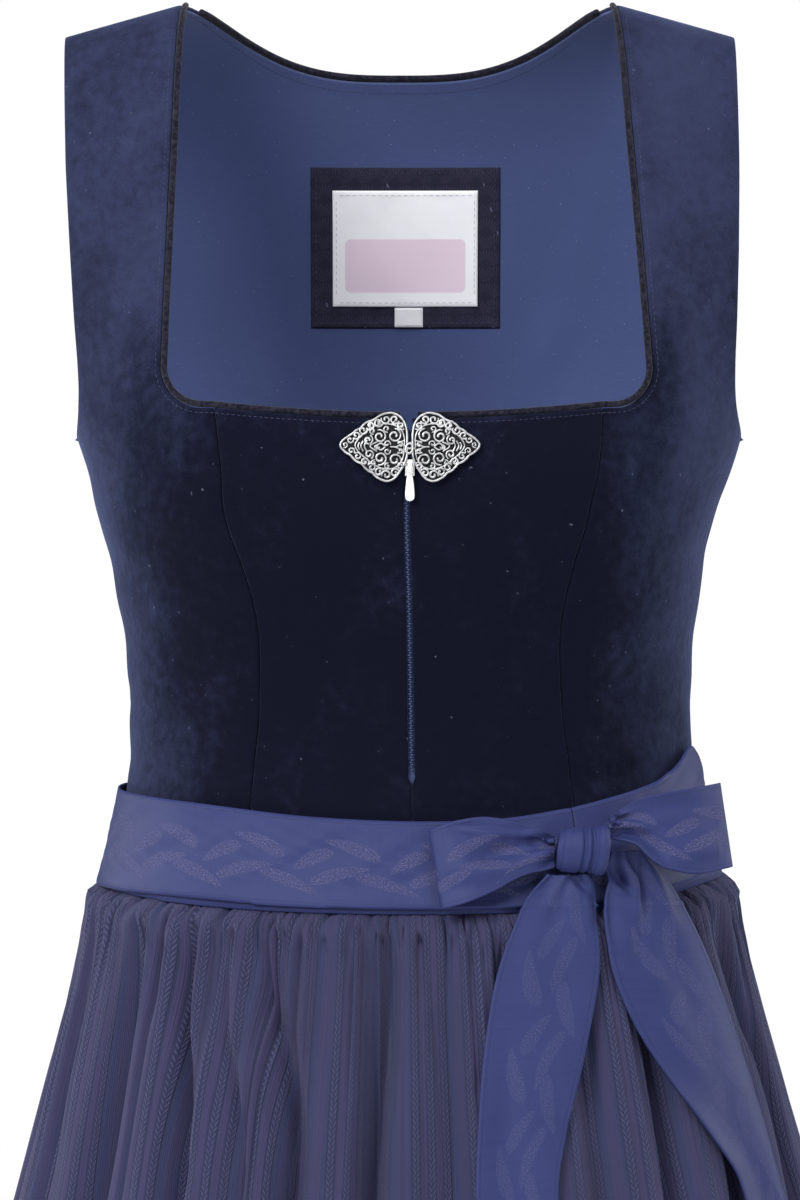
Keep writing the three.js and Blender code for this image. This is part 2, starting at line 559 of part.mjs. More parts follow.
// The tails hang from the knot over the apron. A row gives both edges in degrees from the front, and how
// far the ribbon stands from the skirt's cross-section.
const TAIL_TOP_Z = -377.6;
const tails = {
  bow_tail_right: { end: -800, slant: 22, edges: table('z from to out', [
    [-830, 8.8, 18.2, 6.6], [-700, 9, 19.5, 6.6], [-600, 9.5, 21.5, 6.6], [-511, 11.4, 24.6, 7],
    [-468, 12.5, 29.4, 7.6], [-445, 15, 33.1, 8.2], [-424, 17.4, 36.4, 9], [-403, 21.1, 39, 10.5],
    [-388, 25.5, 39.6, 12], [TAIL_TOP_Z, 34, 39.6, 12],
  ]) },
  bow_tail_left: { end: -830, slant: -22, edges: table('z from to out', [
    [-860, 58.6, 67.6, 6.6], [-700, 58, 67.4, 6.6], [-600, 57.5, 67, 6.6], [-511, 56.6, 66, 7],
    [-492, 53, 65.6, 7.3], [-468, 48, 65, 7.8], [-446, 43.2, 64, 8.4], [-420, 40.6, 61, 9.5],
    [-398, 40.4, 57.3, 10.8], [TAIL_TOP_Z, 40.4, 51, 12],
  ]) },
};
for (const [name, { end, slant, edges }] of Object.entries(tails)) {
  const surface = (u, v) => {
    const z = lerp(TAIL_TOP_Z, end + slant * (u - 0.5), v);
    return ringPoint(lerp(edges.from(z), edges.to(z), u), z, edges.out(z));
  };
  sew(name, clothWall(gridOf(surface, evenly(3), evenly(16)), RIBBON), 'satin');
}

// ---------------------------------------------------------------- zip
// A point of the front's outer face at a place across and a height, raised off the velvet.
function frontPoint(x, z, raised) {
  const along = alongAt(z);
  const across = Math.abs(x - sway.x(z));
  const share = (1 - (across / bodice.half(along)) ** ROUNDNESS) ** (1 / ROUNDNESS);
  return v3(x, -(SEAM_GAP / 2 + bodice.front(along) * share + raised), z);
}
const CHAIN_WIDTH = 7;
const CHAIN_TOP_Z = -184;
const chainSurface = (u, v) => {
  const z = lerp(CHAIN_TOP_Z, ZIP_END_Z - CHAIN_BELOW, v);
  return frontPoint(sway.x(z) + CHAIN_WIDTH * (u - 0.5), z, -VELVET - CHAIN_BEHIND);
};
sew('zip_chain', clothWall(gridOf(chainSurface, evenly(2), evenly(14)), LINING), 'lining');

// The slider is a T: a front plate, and a neck that reaches through the gap to the chain. An arched bridge
// on the plate carries the pull tab.
const SLIDER = { width: 4, neck: 1.4, height: 7, plateFrom: 0.7, plateTo: 1.3, arch: 1.6 };
const sliderZ = SLIDER_TOP_Z - SLIDER.height / 2;
const sliderAt = frontPoint(CLASP_CENTRE_X, sliderZ, 0);
const outline = points => new THREE.Shape(points.map(([x, y]) => new THREE.Vector2(x, y)));
function merged(geometry) {
  geometry.deleteAttribute('normal');
  geometry.deleteAttribute('uv');
  return mergeVertices(geometry, 1e-4);
}
const solidOf = geometry => {
  const plain = merged(geometry);
  return new wasm.Manifold(new wasm.Mesh({ numProp: 3, vertProperties: plain.attributes.position.array,
    triVerts: Uint32Array.from(plain.index.array) }));
};
const { neck, width, plateFrom, plateTo } = SLIDER;
const tee = new THREE.ExtrudeGeometry(outline([
  [-neck / 2, -VELVET], [neck / 2, -VELVET], [neck / 2, plateFrom], [width / 2, plateFrom],
  [width / 2, plateTo], [-width / 2, plateTo], [-width / 2, plateFrom], [-neck / 2, plateFrom],
]), { depth: SLIDER.height, bevelEnabled: false });
tee.rotateX(Math.PI).translate(0, 0, SLIDER.height / 2);
const ARCH = { inner: 1.8, outer: 2.6, halfOpen: 1.7, halfOuter: 2.6 };
const arch = new THREE.ExtrudeGeometry(outline([
  [-ARCH.halfOuter, -0.2], [-ARCH.halfOpen, -0.2], [-ARCH.halfOpen, ARCH.inner], [ARCH.halfOpen, ARCH.inner],
  [ARCH.halfOpen, -0.2], [ARCH.halfOuter, -0.2], [ARCH.halfOuter, 2], [1.9, ARCH.outer], [-1.9, ARCH.outer],
  [-ARCH.halfOuter, 2],
]), { depth: SLIDER.arch, bevelEnabled: false });
arch.applyMatrix4(new THREE.Matrix4().makeBasis(v3(0, 0, 1), v3(0, -1, 0), v3(1, 0, 0)))
  .translate(-SLIDER.arch / 2, -plateTo, 0);
const sliderMesh = solidOf(tee).add(solidOf(arch)).getMesh();
const sliderGeometry = closedGeometry([...sliderMesh.vertProperties],
  evenly(sliderMesh.numTri).slice(1).map((_, n) => [...sliderMesh.triVerts.slice(3 * n, 3 * n + 3)]));
sew('zip_slider', sliderGeometry, 'silver').position.copy(sliderAt);

// The pull tab hangs on the bridge by a crossbar, and turns about it.
const TAB = {
  thickness: 0.9, barHalf: 0.45, eyeHalf: 1.3, eyeDeep: 3.4, length: 14.4, waist: 1.25, top: 1.95, wide: 2.15,
};
const tabShape = new THREE.Shape()
  .moveTo(-TAB.top, TAB.barHalf)
  .lineTo(-TAB.top, -TAB.eyeDeep - 0.2)
  .bezierCurveTo(-TAB.waist, -5, -TAB.wide, -9, -TAB.wide, -TAB.length + TAB.wide)
  .absarc(0, -TAB.length + TAB.wide, TAB.wide, Math.PI, 2 * Math.PI, false)
  .bezierCurveTo(TAB.wide, -9, TAB.waist, -5, TAB.top, -TAB.eyeDeep - 0.2)
  .lineTo(TAB.top, TAB.barHalf);
const eyeCorners = [[-1, -TAB.barHalf], [1, -TAB.barHalf], [1, -TAB.eyeDeep], [-1, -TAB.eyeDeep]];
tabShape.holes.push(new THREE.Path(eyeCorners.map(([x, z]) => new THREE.Vector2(x * TAB.eyeHalf, z))));
const tab = new THREE.ExtrudeGeometry(tabShape,
  { depth: TAB.thickness, bevelEnabled: false, curveSegments: 6 });
const tabPivotOut = plateTo + ARCH.inner / 2;
tab.translate(0, 0, -TAB.thickness / 2).rotateX(Math.PI / 2);
sew('zip_pull_tab', tab, 'silver').position.set(sliderAt.x, sliderAt.y - tabPivotOut, sliderZ);

// ---------------------------------------------------------------- clasp
// Two leaf-shaped plates, each sewn to its front, with their points outwards, and the hook that joins them.
const PLATE = 1.4;
const PLATE_RAISED = 1.7;        // clear of the slider, which runs under the plates
const leaf = new THREE.Shape()
  .moveTo(29.6, 1.6)
  .bezierCurveTo(25, 7.4, 16, 14.6, 10, 14.8)
  .bezierCurveTo(5, 15, 1.2, 11, 1.2, 6)
  .lineTo(1.2, -2.5)
  .bezierCurveTo(1.3, -5, 3.2, -8.4, 4.6, -10.5)
  .bezierCurveTo(6, -13, 8, -14.8, 10.5, -14.2)
  .bezierCurveTo(17, -12.6, 25, -6, 29.6, 0);
const CLASP_Z = -195;
for (const [side, sign] of [['right', -1], ['left', 1]]) {
  const flat = new THREE.ExtrudeGeometry(leaf, { depth: PLATE, bevelEnabled: false, curveSegments: 7 });
  const plate = merged(flat);
  const corners = plate.attributes.position;
  const laidAt = n => frontPoint(CLASP_CENTRE_X + sign * corners.getX(n), CLASP_Z + corners.getY(n),
    PLATE_RAISED + corners.getZ(n));
  const laid = evenly(corners.count).slice(1).flatMap((_, n) => laidAt(n).toArray());
  const faceAt = n => [0, 1, 2].map(k => plate.index.getX(3 * n + k));
  const faces = evenly(plate.index.count / 3).slice(1).map((_, n) => faceAt(n));
  sew(`clasp_${side}`, closedGeometry(laid, faces), 'silver');
}
const HOOK = { width: 6.4, height: 5.6, thickness: 1, below: 0.8, clear: 0.9 };
const hookRaised = PLATE_RAISED + PLATE + SEAM_GAP + HOOK.clear;
sew('clasp_hook', new THREE.BoxGeometry(HOOK.width, HOOK.thickness, HOOK.height), 'silver')
  .position.copy(frontPoint(CLASP_CENTRE_X, CLASP_Z - HOOK.below, hookRaised));

// ---------------------------------------------------------------- label
// A dark patch sewn inside the back, a light label on it, and a small size tab below that.
function backPlate({ from, to, top, bottom, raised, thickness, steps = 6 }) {
  const surface = (u, v) => {
    const [x, z] = [lerp(from, to, u), lerp(top, bottom, v)];
    const along = alongAt(z);
    const share = (1 - (Math.abs(x) / bodice.half(along)) ** ROUNDNESS) ** (1 / ROUNDNESS);
    const inside = SEAM_GAP / 2 + bodice.back(along) * share - VELVET - SEAM_GAP - LINING;
    return v3(x, inside - LABEL_CLEARANCE - raised, z);
  };
  const backwards = ({ u, point }) => ({ u, point, out: v3(0, 1, 0) });
  return clothWall(gridOf(surface, evenly(steps), evenly(4)).map(row => row.map(backwards)), thickness);
}
const onPatch = { raised: 1.1, thickness: 0.6 };
const labels = {
  label_patch: { from: -43.5, to: 45, top: -58.5, bottom: -132.5, raised: 0, thickness: 0.8 },
  label_white: { from: -33.3, to: 34.6, top: -69, bottom: -122.6, ...onPatch },
  size_tab: { from: -4.3, to: 8.9, top: -123, bottom: -132, ...onPatch, steps: 1 },
};
for (const [name, label] of Object.entries(labels)) {
  sew(name, backPlate(label), name === 'label_patch' ? 'labelDark' : 'labelLight');
}

export default dirndl;
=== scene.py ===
"""A dirndl as it is worn: a velvet bodice with a zip and a filigree clasp, a gathered skirt, and a striped
apron whose woven ribbon is tied in a bow. Tables are in millimetres, +Z up, and the front faces -Y."""
import math

import bpy
import numpy as np
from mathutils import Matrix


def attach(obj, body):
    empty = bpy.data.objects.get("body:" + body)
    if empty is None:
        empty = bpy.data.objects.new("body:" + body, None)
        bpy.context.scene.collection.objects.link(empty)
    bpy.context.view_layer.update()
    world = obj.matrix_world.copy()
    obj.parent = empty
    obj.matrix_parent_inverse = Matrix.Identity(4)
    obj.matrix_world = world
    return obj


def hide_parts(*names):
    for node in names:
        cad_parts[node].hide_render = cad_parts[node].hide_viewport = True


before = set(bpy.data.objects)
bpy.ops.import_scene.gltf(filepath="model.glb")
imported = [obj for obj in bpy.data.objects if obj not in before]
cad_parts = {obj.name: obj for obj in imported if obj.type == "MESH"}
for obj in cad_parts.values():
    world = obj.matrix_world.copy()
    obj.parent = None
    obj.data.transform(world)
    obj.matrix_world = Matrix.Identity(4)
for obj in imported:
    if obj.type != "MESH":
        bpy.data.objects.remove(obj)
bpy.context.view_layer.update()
scene = bpy.context.scene
MM = 0.001

# ---------------------------------------------------------------- camera, floor and studio light
# A long lens looks level at the dress from 2.2 metres. A pale floor lies under the hem, and large soft
# lights stand in front, above, and on both sides behind.


def placed(name, data):
    """A new object of the scene."""
    made = bpy.data.objects.new(name, data)
    scene.collection.objects.link(made)
    return made


camera = placed("camera", bpy.data.cameras.new("camera"))
camera.location = (-0.0018, -2.2, -0.26)
camera.rotation_euler = (math.radians(90), 0, 0)
camera.data.lens = 146.67
camera.data.sensor_width = 36
scene.camera = camera
scene.view_settings.view_transform = "Standard"


class Wire:
    """An output of a material's nodes. Arithmetic on it adds Math nodes to the material in hand."""

    tree = None
    shader = None

    def __init__(self, socket):
        self.socket = socket

    @classmethod
    def node(cls, kind, settings, sockets, output=0):
        """Adds a node, makes its settings, sets or links its sockets, and gives one of its outputs."""
        made = cls.tree.nodes.new("ShaderNode" + kind)
        for name, value in settings.items():
            setattr(made, name, value)
        cls.join(made, sockets)
        return cls(made.outputs[output])

    @classmethod
    def join(cls, made, sockets):
        """Sets or links the sockets of a node."""
        for name, value in sockets.items():
            socket = made.inputs[name]
            if isinstance(value, Wire):
                cls.tree.links.new(value.socket, socket)
            elif socket.type == "RGBA":
                socket.default_value = (*value, 1)
            else:
                socket.default_value = value

    def math(self, operation, *others):
        """A Math node on this value and the others."""
        return Wire.node("Math", {"operation": operation}, dict(enumerate([self, *others])))

    def __add__(self, other):
        return self.math("ADD", other)

    def __sub__(self, other):
        return self.math("SUBTRACT", other)

    def __rsub__(self, other):
        return self * -1 + other

    def __mul__(self, other):
        return self.math("MULTIPLY", other)

    def __truediv__(self, other):
        return self.math("DIVIDE", other)

    def __abs__(self):
        return self.math("ABSOLUTE")

    __radd__ = __add__
    __rmul__ = __mul__

    def sine(self, period):
        """A wave from -1 to 1 with this period."""
        return (self * (2 * math.pi / period)).math("SINE")

    def within(self, period):
        """How far this value is past the last whole period."""
        return (self / period).math("FRACT") * period

    def axis(self, name):
        """One component of this vector."""
        return Wire.node("SeparateXYZ", {}, {"Vector": self}, name)

    def rise(self, low, high):
        """0 below low and 1 above high, with a soft step between them."""
        return Wire.node("MapRange", {"interpolation_type": "SMOOTHSTEP"},
                         {"Value": self, "From Min": low, "From Max": high})


def new_material(name, **constants):
    """A material whose nodes are made next, with the constants of its shader."""
    material = bpy.data.materials.new(name)
    material.use_nodes = True
    Wire.tree = material.node_tree
    Wire.shader = Wire.tree.nodes["Principled BSDF"]
    Wire.join(Wire.shader, {key.replace("_", " "): value for key, value in constants.items()})
    return material


def blend(share, first, second):
    """A mix of two colours: the first where share is 0, the second where it is 1."""
    return Wire.node("Mix", {"data_type": "RGBA"}, {0: share, 6: first, 7: second}, 2)


def place():
    """The place in the dress, in metres."""
    return Wire.node("TexCoord", {}, {}, "Object")


def noise(scale, where, detail=2.0, stretch=(1, 1, 1)):
    """Soft noise around 0.5, with this many lumps to a unit of the place, or fewer where it is stretched."""
    moved = Wire.node("VectorMath", {"operation": "MULTIPLY"}, {0: where, 1: stretch})
    return Wire.node("TexNoise", {}, {"Vector": moved, "Scale": scale, "Detail": detail})


def finish(colour, height=None, distance=0.0002, strength=1.0, **others):
    """Gives the shader its colour, a relief whose height of 1 is this many metres, and any other value."""
    sockets = {"Base Color": colour, **{key.replace("_", " "): value for key, value in others.items()}}
    if height is not None:
        relief = {"Height": height, "Distance": distance, "Strength": strength}
        sockets["Normal"] = Wire.node("Bump", {}, relief)
    Wire.join(Wire.shader, sockets)


FLOOR_HALF, FLOOR_Z = 2.5, -1.0305
corners = [(FLOOR_HALF * x, FLOOR_HALF * y, FLOOR_Z) for x, y in ((-1, -1), (1, -1), (1, 1), (-1, 1))]
floor_mesh = bpy.data.meshes.new("floor")
floor_mesh.from_pydata(corners, [], [(0, 1, 2, 3)])
floor = placed("floor", floor_mesh)
floor_mesh.materials.append(new_material("pale_floor", Roughness=0.9, Emission_Strength=1.0))
# Beyond the studio lights the floor glows with painted light, so that it pales into the backdrop.
far = Wire.node("VectorMath", {"operation": "LENGTH"}, {0: place()}, "Value").rise(1.2, 2.3)
finish(blend(noise(3, place()), (0.78, 0.78, 0.78), (0.84, 0.84, 0.84)),
       Emission_Color=blend(far, (0, 0, 0), (0.8, 0.8, 0.8)))

LIT_PLACE = np.array([0, 0, -0.45])
LIGHTS = {   # place and size in metres, and power in watts
    "key": ((-1.5, -2.2, 1.3), 1.6, 96),
    "fill": ((1.7, -2.3, 0.2), 1.8, 17),
    "top": ((0.4, -1.0, 1.5), 1.6, 24),
    "edge_right": ((-1.9, 0.7, 0.2), 1.2, 24),
    "edge_left": ((1.9, 0.7, 0.2), 1.2, 24),
}
for name, (at, size, power) in LIGHTS.items():
    lamp = bpy.data.lights.new(name, "AREA")
    lamp.shape = "DISK"
    lamp.size = size
    lamp.energy = power
    light = placed(name, lamp)
    light.location = at
    aim = LIT_PLACE - np.array(at)
    light.rotation_euler = (math.acos(-aim[2] / np.linalg.norm(aim)), 0, math.atan2(-aim[0], aim[1]))

# The backdrop is white, and gives a little bluish light.
world = bpy.data.worlds.new("studio")
scene.world = world
world.use_nodes = True
Wire.tree = world.node_tree
seen = Wire.node("LightPath", {}, {}, "Is Camera Ray")
Wire.join(world.node_tree.nodes["Background"],
          {"Color": blend(seen, (0.86, 0.9, 1), (1, 1, 1)), "Strength": seen * 0.87 + 0.13})

# ---------------------------------------------------------------- bodice
# Five panels of deep blue cotton velvet: two fronts of two panels each, joined by princess seams, and a back
# in one piece with its straps. Seam edges roll in, the pile shades with the light, and a few creases show.


def curves(rows):
    """Smooth curves through a table: for each column after the first, its value at a place in the first."""
    grid = np.array(rows, float)
    at = grid[:, 0]
    after = np.minimum(np.arange(len(at)) + 1, len(at) - 1)
    before = np.maximum(np.arange(len(at)) - 1, 0)
    slope = (grid[after] - grid[before]) / (at[after] - at[before])[:, None]

    def column(k):
        def read(value):
            value = np.clip(value, at[0], at[-1])
            n = np.clip(np.searchsorted(at, value, "right") - 1, 0, len(at) - 2)
            step = at[n + 1] - at[n]
            t = (value - at[n]) / step
            a, b = grid[n, k], grid[n + 1, k]
            ma, mb = slope[n, k] * step, slope[n + 1, k] * step
            return a + t * (ma + t * (3 * (b - a) - 2 * ma - mb + t * (2 * (a - b) + ma + mb)))
        return read
    return [column(k) for k in range(1, grid.shape[1])]


def smooth(value, low, high):
    """0 below low and 1 above high, with a soft step between them."""
    t = np.clip((value - low) / (high - low), 0, 1)
    return t * t * (3 - 2 * t)


def between(a, b, t):
    """The value that is this share of the way from a to b."""
    return a + (b - a) * t


# Sections down the cloth: distance from the shoulder seam, drop, depth of the front and back, half width.
body_drop, body_front, body_back, body_half = curves([
    (0, 0, 0, 0, 165), (8, 0.8, 10.5, 11, 165), (16, 3.1, 20.5, 22, 165), (26, 8.2, 31, 34.5, 165),
    (38, 16.5, 40.5, 47.5, 165), (52, 28.5, 49.5, 60.5, 165), (66, 43, 57.5, 71, 165),
    (80, 60, 64.5, 80, 165), (110, 90, 76, 90, 165), (140, 120, 87, 96, 164.5), (165, 145, 95, 99, 162.5),
    (184, 164, 100.5, 100, 158), (200, 180, 105, 99.5, 152.5), (215.7, 195.7, 109, 98, 148.7),
    (235.7, 215.7, 111, 95.5, 142.4), (262.7, 242.7, 107.5, 91, 135), (287.7, 267.7, 101, 86.5, 130.3),
    (305.7, 285.7, 97, 84, 127.4), (324.7, 304.7, 94, 82.5, 126.3), (347.7, 327.7, 92.5, 82, 125.8),
    (370.7, 350.7, 95, 85.5, 127.5), (392.7, 372.7, 100, 91.5, 132), (409.7, 389.7, 105, 97, 136.8),
    (420, 400, 109, 101, 140.3)])
# By the same distance, how far out the armhole and the princess seam are; and by height, how far the dress
# hangs aside.
[armhole_x] = curves([
    (0, 150.5), (80, 149.8), (120, 148.5), (160, 146.5), (190, 145), (204, 146), (215.7, 148.7)])
[princess_x] = curves([
    (205, 84), (227, 82), (254, 78), (272, 72), (293, 66.5), (309, 65), (328, 65.5), (340, 66), (356, 68),
    (373, 70), (415, 74)])
[sway] = curves([
    (-1040, 6), (-530, 6), (-440, 5), (-385, 4), (-320, 3), (-260, 2), (-220, 1), (-203, 2.4), (-186, 2.2),
    (-172, 1.4), (-100, 0), (8, -2.2)])
UNDERARM = 215.7
WAIST_SEAM, WAIST_DIP = -382, 7
WAIST_HALF = body_half(410)
SUPERELLIPSE = 2.4
NECK_HALF = 97
SHOULDER_TOP, SHOULDER_SLOPE, OVER_SHOULDER = 7.7, 0.275, 20
HALF_GAP = 0.15      # half the gap between two panels
VELVET = 1.5


def body_point(towards, turn, along):
    """A point of the front (-1) or back (1) on the wearer's left, before the dress's sway."""
    depth = (body_front if towards < 0 else body_back)(along)
    x = body_half(along) * np.sin(turn) ** (2 / SUPERELLIPSE)
    y = towards * (HALF_GAP + depth * np.maximum(np.cos(turn), 0) ** (2 / SUPERELLIPSE))
    slope = SHOULDER_SLOPE * np.maximum(x - NECK_HALF, 0) * (1 - smooth(along, 0, 150))
    return np.stack(np.broadcast_arrays(x, y, SHOULDER_TOP - body_drop(along) - slope), -1)


def turn_at(x, along):
    """The turn from the middle at which the cloth is this far out."""
    return np.arcsin(np.minimum(x / body_half(along), 1) ** (SUPERELLIPSE / 2))


def outer_turn(along):
    """The turn at the armhole, or at the side seam below it."""
    return np.where(along < UNDERARM, turn_at(armhole_x(along), along), math.pi / 2)


def along_at(z):
    """The distance down the cloth at a height, where it hangs straight below its curve over the shoulder."""
    return SHOULDER_TOP + OVER_SHOULDER - z


def waist_along(x):
    """The distance down the cloth at the waist seam, which dips in the middle."""
    return along_at(WAIST_SEAM - WAIST_DIP * (1 - (x / WAIST_HALF) ** 2))


def hung(points, sign):
    """The points on the wearer's left (1) or right (-1), where the dress hangs."""
    x = sign * points[..., 0] + sway(points[..., 2])
    return np.stack([x, points[..., 1], points[..., 2]], -1)


def outward(points):
    """The direction out of the cloth at each point of a grid."""
    down, across = np.gradient(points, axis=0), np.gradient(points, axis=1)
    out = np.cross(down, across)
    out /= np.linalg.norm(out, axis=-1, keepdims=True) + 1e-12
    away = (out * points * (0.5, 1, 0)).sum(-1, keepdims=True)
    return np.where(away.mean() < 0, -out, out)


def creased(points, creases):
    """Presses soft troughs into the cloth, each from one (x, z) to another, with its depth and width."""
    out = outward(points)
    moved = points.copy()
    for x, z, to_x, to_z, depth, width in creases:
        line = np.array([to_x - x, to_z - z])
        past = points[..., 0] - x, points[..., 2] - z
        share = np.clip((past[0] * line[0] + past[1] * line[1]) / (line @ line), 0, 1)
        away = np.hypot(past[0] - share * line[0], past[1] - share * line[1])
        side = np.sign(past[0] * line[1] - past[1] * line[0]) * away
        # A crease fades towards both ends, and the cloth stands up a little along one side of it.
        taper = np.sin(np.pi * (0.06 + 0.88 * share)) ** 0.8
        trough = np.exp(-(side / width) ** 2) - 0.4 * np.exp(-((side - 2 * width) / width) ** 2)
        moved -= out * (depth * taper * trough)[..., None]
    return moved


# Distance from a seam, and how far the cloth dips there.
SEAM_ROLL = [(0, 2.4), (0.08, 0.8), (0.35, 0.4), (0.8, 0.15), (1.6, 0.03)]


def seam_shares(width, count):
    """Shares across a panel, close together by its seams, and the dip at each."""
    near = [distance / width for distance, dip in SEAM_ROLL]
    dips = [dip for distance, dip in SEAM_ROLL]
    middle = np.linspace(3 / width, 1 - 3 / width, count)
    return (np.array([*near, *middle, *(1 - share for share in near[::-1])]),
            np.array([*dips, *np.zeros(count), *dips[::-1]]))


def lengths(points, axis):
    """The length of each row (axis 1) or column (axis 0) of a grid."""
    return np.linalg.norm(np.diff(points, axis=axis), axis=-1).sum(axis)


def cloth_mesh(name, points, thickness, materials, cloth=None, facing=None):
    """A thin shell of cloth through a grid of points, which are its outer face, riding on the dress. Each
    point keeps its place on the flat cloth, in millimetres, for the weave and print."""
    rows, columns = points.shape[:2]
    corner = np.arange(rows * columns).reshape(rows, columns)
    quads = np.stack([corner[:-1, :-1], corner[1:, :-1], corner[1:, 1:], corner[:-1, 1:]], -1).reshape(-1, 4)
    down, across = np.diff(points, axis=0)[:, :-1], np.diff(points, axis=1)[:-1]
    away = points[:-1, :-1] * (0.5, 1, 0) if facing is None else np.array(facing)
    if (np.cross(down, across) * away).sum() < 0:
        quads = quads[:, ::-1]
    mesh = bpy.data.meshes.new(name)
    mesh.from_pydata((points.reshape(-1, 3) * MM).tolist(), [], quads.tolist())
    if cloth is None:
        width, length = lengths(points, 1).max(), lengths(points, 0).max()
        cloth = np.stack(np.meshgrid(np.linspace(0, width, columns), np.linspace(0, length, rows)), -1)
    flat = np.zeros((rows, columns, 3))
    flat[..., :2] = cloth
    mesh.attributes.new("cloth", "FLOAT_VECTOR", "POINT").data.foreach_set("vector", flat.ravel())
    mesh.shade_smooth()
    for material in materials:
        mesh.materials.append(material)
    piece = placed(name, mesh)
    shell = piece.modifiers.new("thickness", "SOLIDIFY")
    shell.thickness = thickness * MM
    shell.offset = -1
    shell.material_offset = len(materials) - 1
    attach(piece, "dress")
    return piece


def on_cloth():
    """The place on the flat cloth, in millimetres: across it, down it, and both as one vector."""
    where = Wire.node("Attribute", {"attribute_name": "cloth"}, {}, "Vector")
    return where.axis("X"), where.axis("Y"), where


velvet = new_material("velvet", Sheen_Weight=0.25, Sheen_Roughness=0.35, Sheen_Tint=(0.36, 0.45, 0.85),
                      Specular_IOR_Level=0.06, Roughness=0.95)
pile_place = place()
# The straps and the sides are painted lighter, a painted sheen where the pile catches more light. The pile is
# brushed into patches, and paler along one edge of each panel: partly pressed by the seam, partly a painted
# highlight.
patches = noise(11, pile_place, 2, (1, 1, 0.8))
brushed = noise(34, pile_place, 4, (1, 1, 0.6))
flecks = noise(210, pile_place, 3)
aside, height = abs(pile_place.axis("X")), pile_place.axis("Z")
# Painted sheen: lighter on the straps and towards the sides, where the pile catches more light.
painted_sheen = aside.rise(0.07, 0.14).math("MAXIMUM", height.rise(-0.2, -0.12)) * 0.6
nap_and_sheen = painted_sheen + (patches - 0.5) * 0.5 + (brushed - 0.5) * 0.75 + (flecks - 0.5) * 0.5
nap_and_sheen = nap_and_sheen.math("MAXIMUM", 0)
pile = noise(1500, pile_place, 1)
lint = noise(420, pile_place, 1).rise(0.77, 0.82)
velvet_colour = blend(nap_and_sheen.rise(0.05, 0.9), (0.0034, 0.004, 0.0115), (0.025, 0.031, 0.073))
velvet_colour = blend(pile.rise(0.4, 0.75) * nap_and_sheen * 0.4, velvet_colour, (0.04, 0.045, 0.1))
# Partly pressed pile, partly a painted highlight: paler along one edge of each panel, by the seam.
pressed_pile_highlight = 1 - on_cloth()[0].rise(0.3, 1.3)
velvet_colour = blend(pressed_pile_highlight * flecks.rise(0.4, 0.65) * 0.35, velvet_colour, (0.04, 0.045, 0.09))
velvet_colour = blend(lint * 0.3, velvet_colour, (0.2, 0.22, 0.3))
finish(velvet_colour, pile * 0.6 + brushed * 2 + flecks, 0.0004, 0.7)

lining_cloth = new_material("lining_cotton", Specular_IOR_Level=0.25, Roughness=0.85, Sheen_Weight=0.15)
across, down, flat_place = on_cloth()
weave = across.sine(0.5) * down.sine(0.5)
slub = noise(1, flat_place, 2, (0.12, 2.2, 1)).rise(0.58, 0.75)
speck = noise(1, flat_place, 0, (1.1, 1.1, 1)).rise(0.83, 0.87)
cloud = noise(9, place(), 2)
lining_colour = blend(cloud, (0.041, 0.059, 0.158), (0.05, 0.072, 0.187))
lining_colour = blend(slub * 0.28, lining_colour, (0.1, 0.13, 0.27))
lining_colour = blend(speck * 0.5, lining_colour, (0.4, 0.44, 0.6))
finish(lining_colour, weave * 0.1 + slub * 0.2, 0.0003, 0.5)

# Front side panels. Inner and outer edge by row: the strap, the round neck corner, then the princess seam;
# and the armhole, then the side seam.
CORNER_ROW, SEAM_ROW, LAST_ROW = 11, 16, 25
CORNER_X, CORNER_ALONG, CORNER_RADIUS = 107, along_at(-177), 18
CENTRE_TOP = CORNER_ALONG + 0.2
SEAM_LOW, SIDE_LOW = waist_along(74), waist_along(WAIST_HALF)
corner_along = CORNER_ALONG - CORNER_RADIUS * (1 - np.sin(np.radians([0, 22.5, 45, 67.5, 90])))
inner_along = [0, 8, 16, 26, 38, 52, 68, 88, 114, 142, 166, *corner_along, CENTRE_TOP, 224, 246, 268, 292,
               318, 346, 374, 398, SEAM_LOW]
outer_along = [0, 8, 16, 26, 38, 52, 68, 88, 114, 142, 168, 182, 192, 200, 207, 212, UNDERARM, 228, 248, 269,
               292, 318, 345, 372, 394, SIDE_LOW]


def inner_edge(row):
    """The x and the distance down the cloth of a front side panel's inner edge."""
    along = np.interp(row, range(len(inner_along)), inner_along)
    arc = np.radians(np.clip(row - CORNER_ROW, 0, 4) * 22.5)
    along = np.where((row > CORNER_ROW) & (row < SEAM_ROW - 1),
                     CORNER_ALONG - CORNER_RADIUS * (1 - np.sin(arc)), along)
    strap = between(NECK_HALF, CORNER_X, np.minimum(along / (CORNER_ALONG - CORNER_RADIUS), 1))
    corner = CORNER_X - CORNER_RADIUS * (1 - np.cos(arc))
    to_seam = between(corner, princess_x(205) + HALF_GAP, np.clip(row - SEAM_ROW + 1, 0, 1))
    x = np.where(row <= CORNER_ROW, strap, np.where(row < SEAM_ROW, to_seam, princess_x(along) + HALF_GAP))
    return x, along


def side_panel(u, row):
    """The front side panel's surface on the wearer's left, by share across and row."""
    x, inner = inner_edge(row)
    outer = np.interp(row, range(len(outer_along)), outer_along)
    along = between(inner, outer, u)
    # The steep turn of the armhole just above the underarm stays near the armhole's edge.
    climb = np.clip((row - CORNER_ROW) / (SEAM_ROW - CORNER_ROW), 0, 1)
    calm_turn = between(outer_turn(outer_along[CORNER_ROW]), np.pi / 2, climb)
    calm_turn = np.where(climb > 0, calm_turn, outer_turn(outer))
    turn = between(turn_at(x, inner), calm_turn, u) + (outer_turn(outer) - calm_turn) * u ** 5
    straight = between(SEAM_LOW, SIDE_LOW, u)
    waist = waist_along(WAIST_HALF * np.sin(turn) ** (2 / SUPERELLIPSE))
    return body_point(-1, turn, along + (waist - straight) * smooth(along, 380, straight))


NECK_DIP = 5
ZIP_END, ZIP_HALF = -334, 1.3


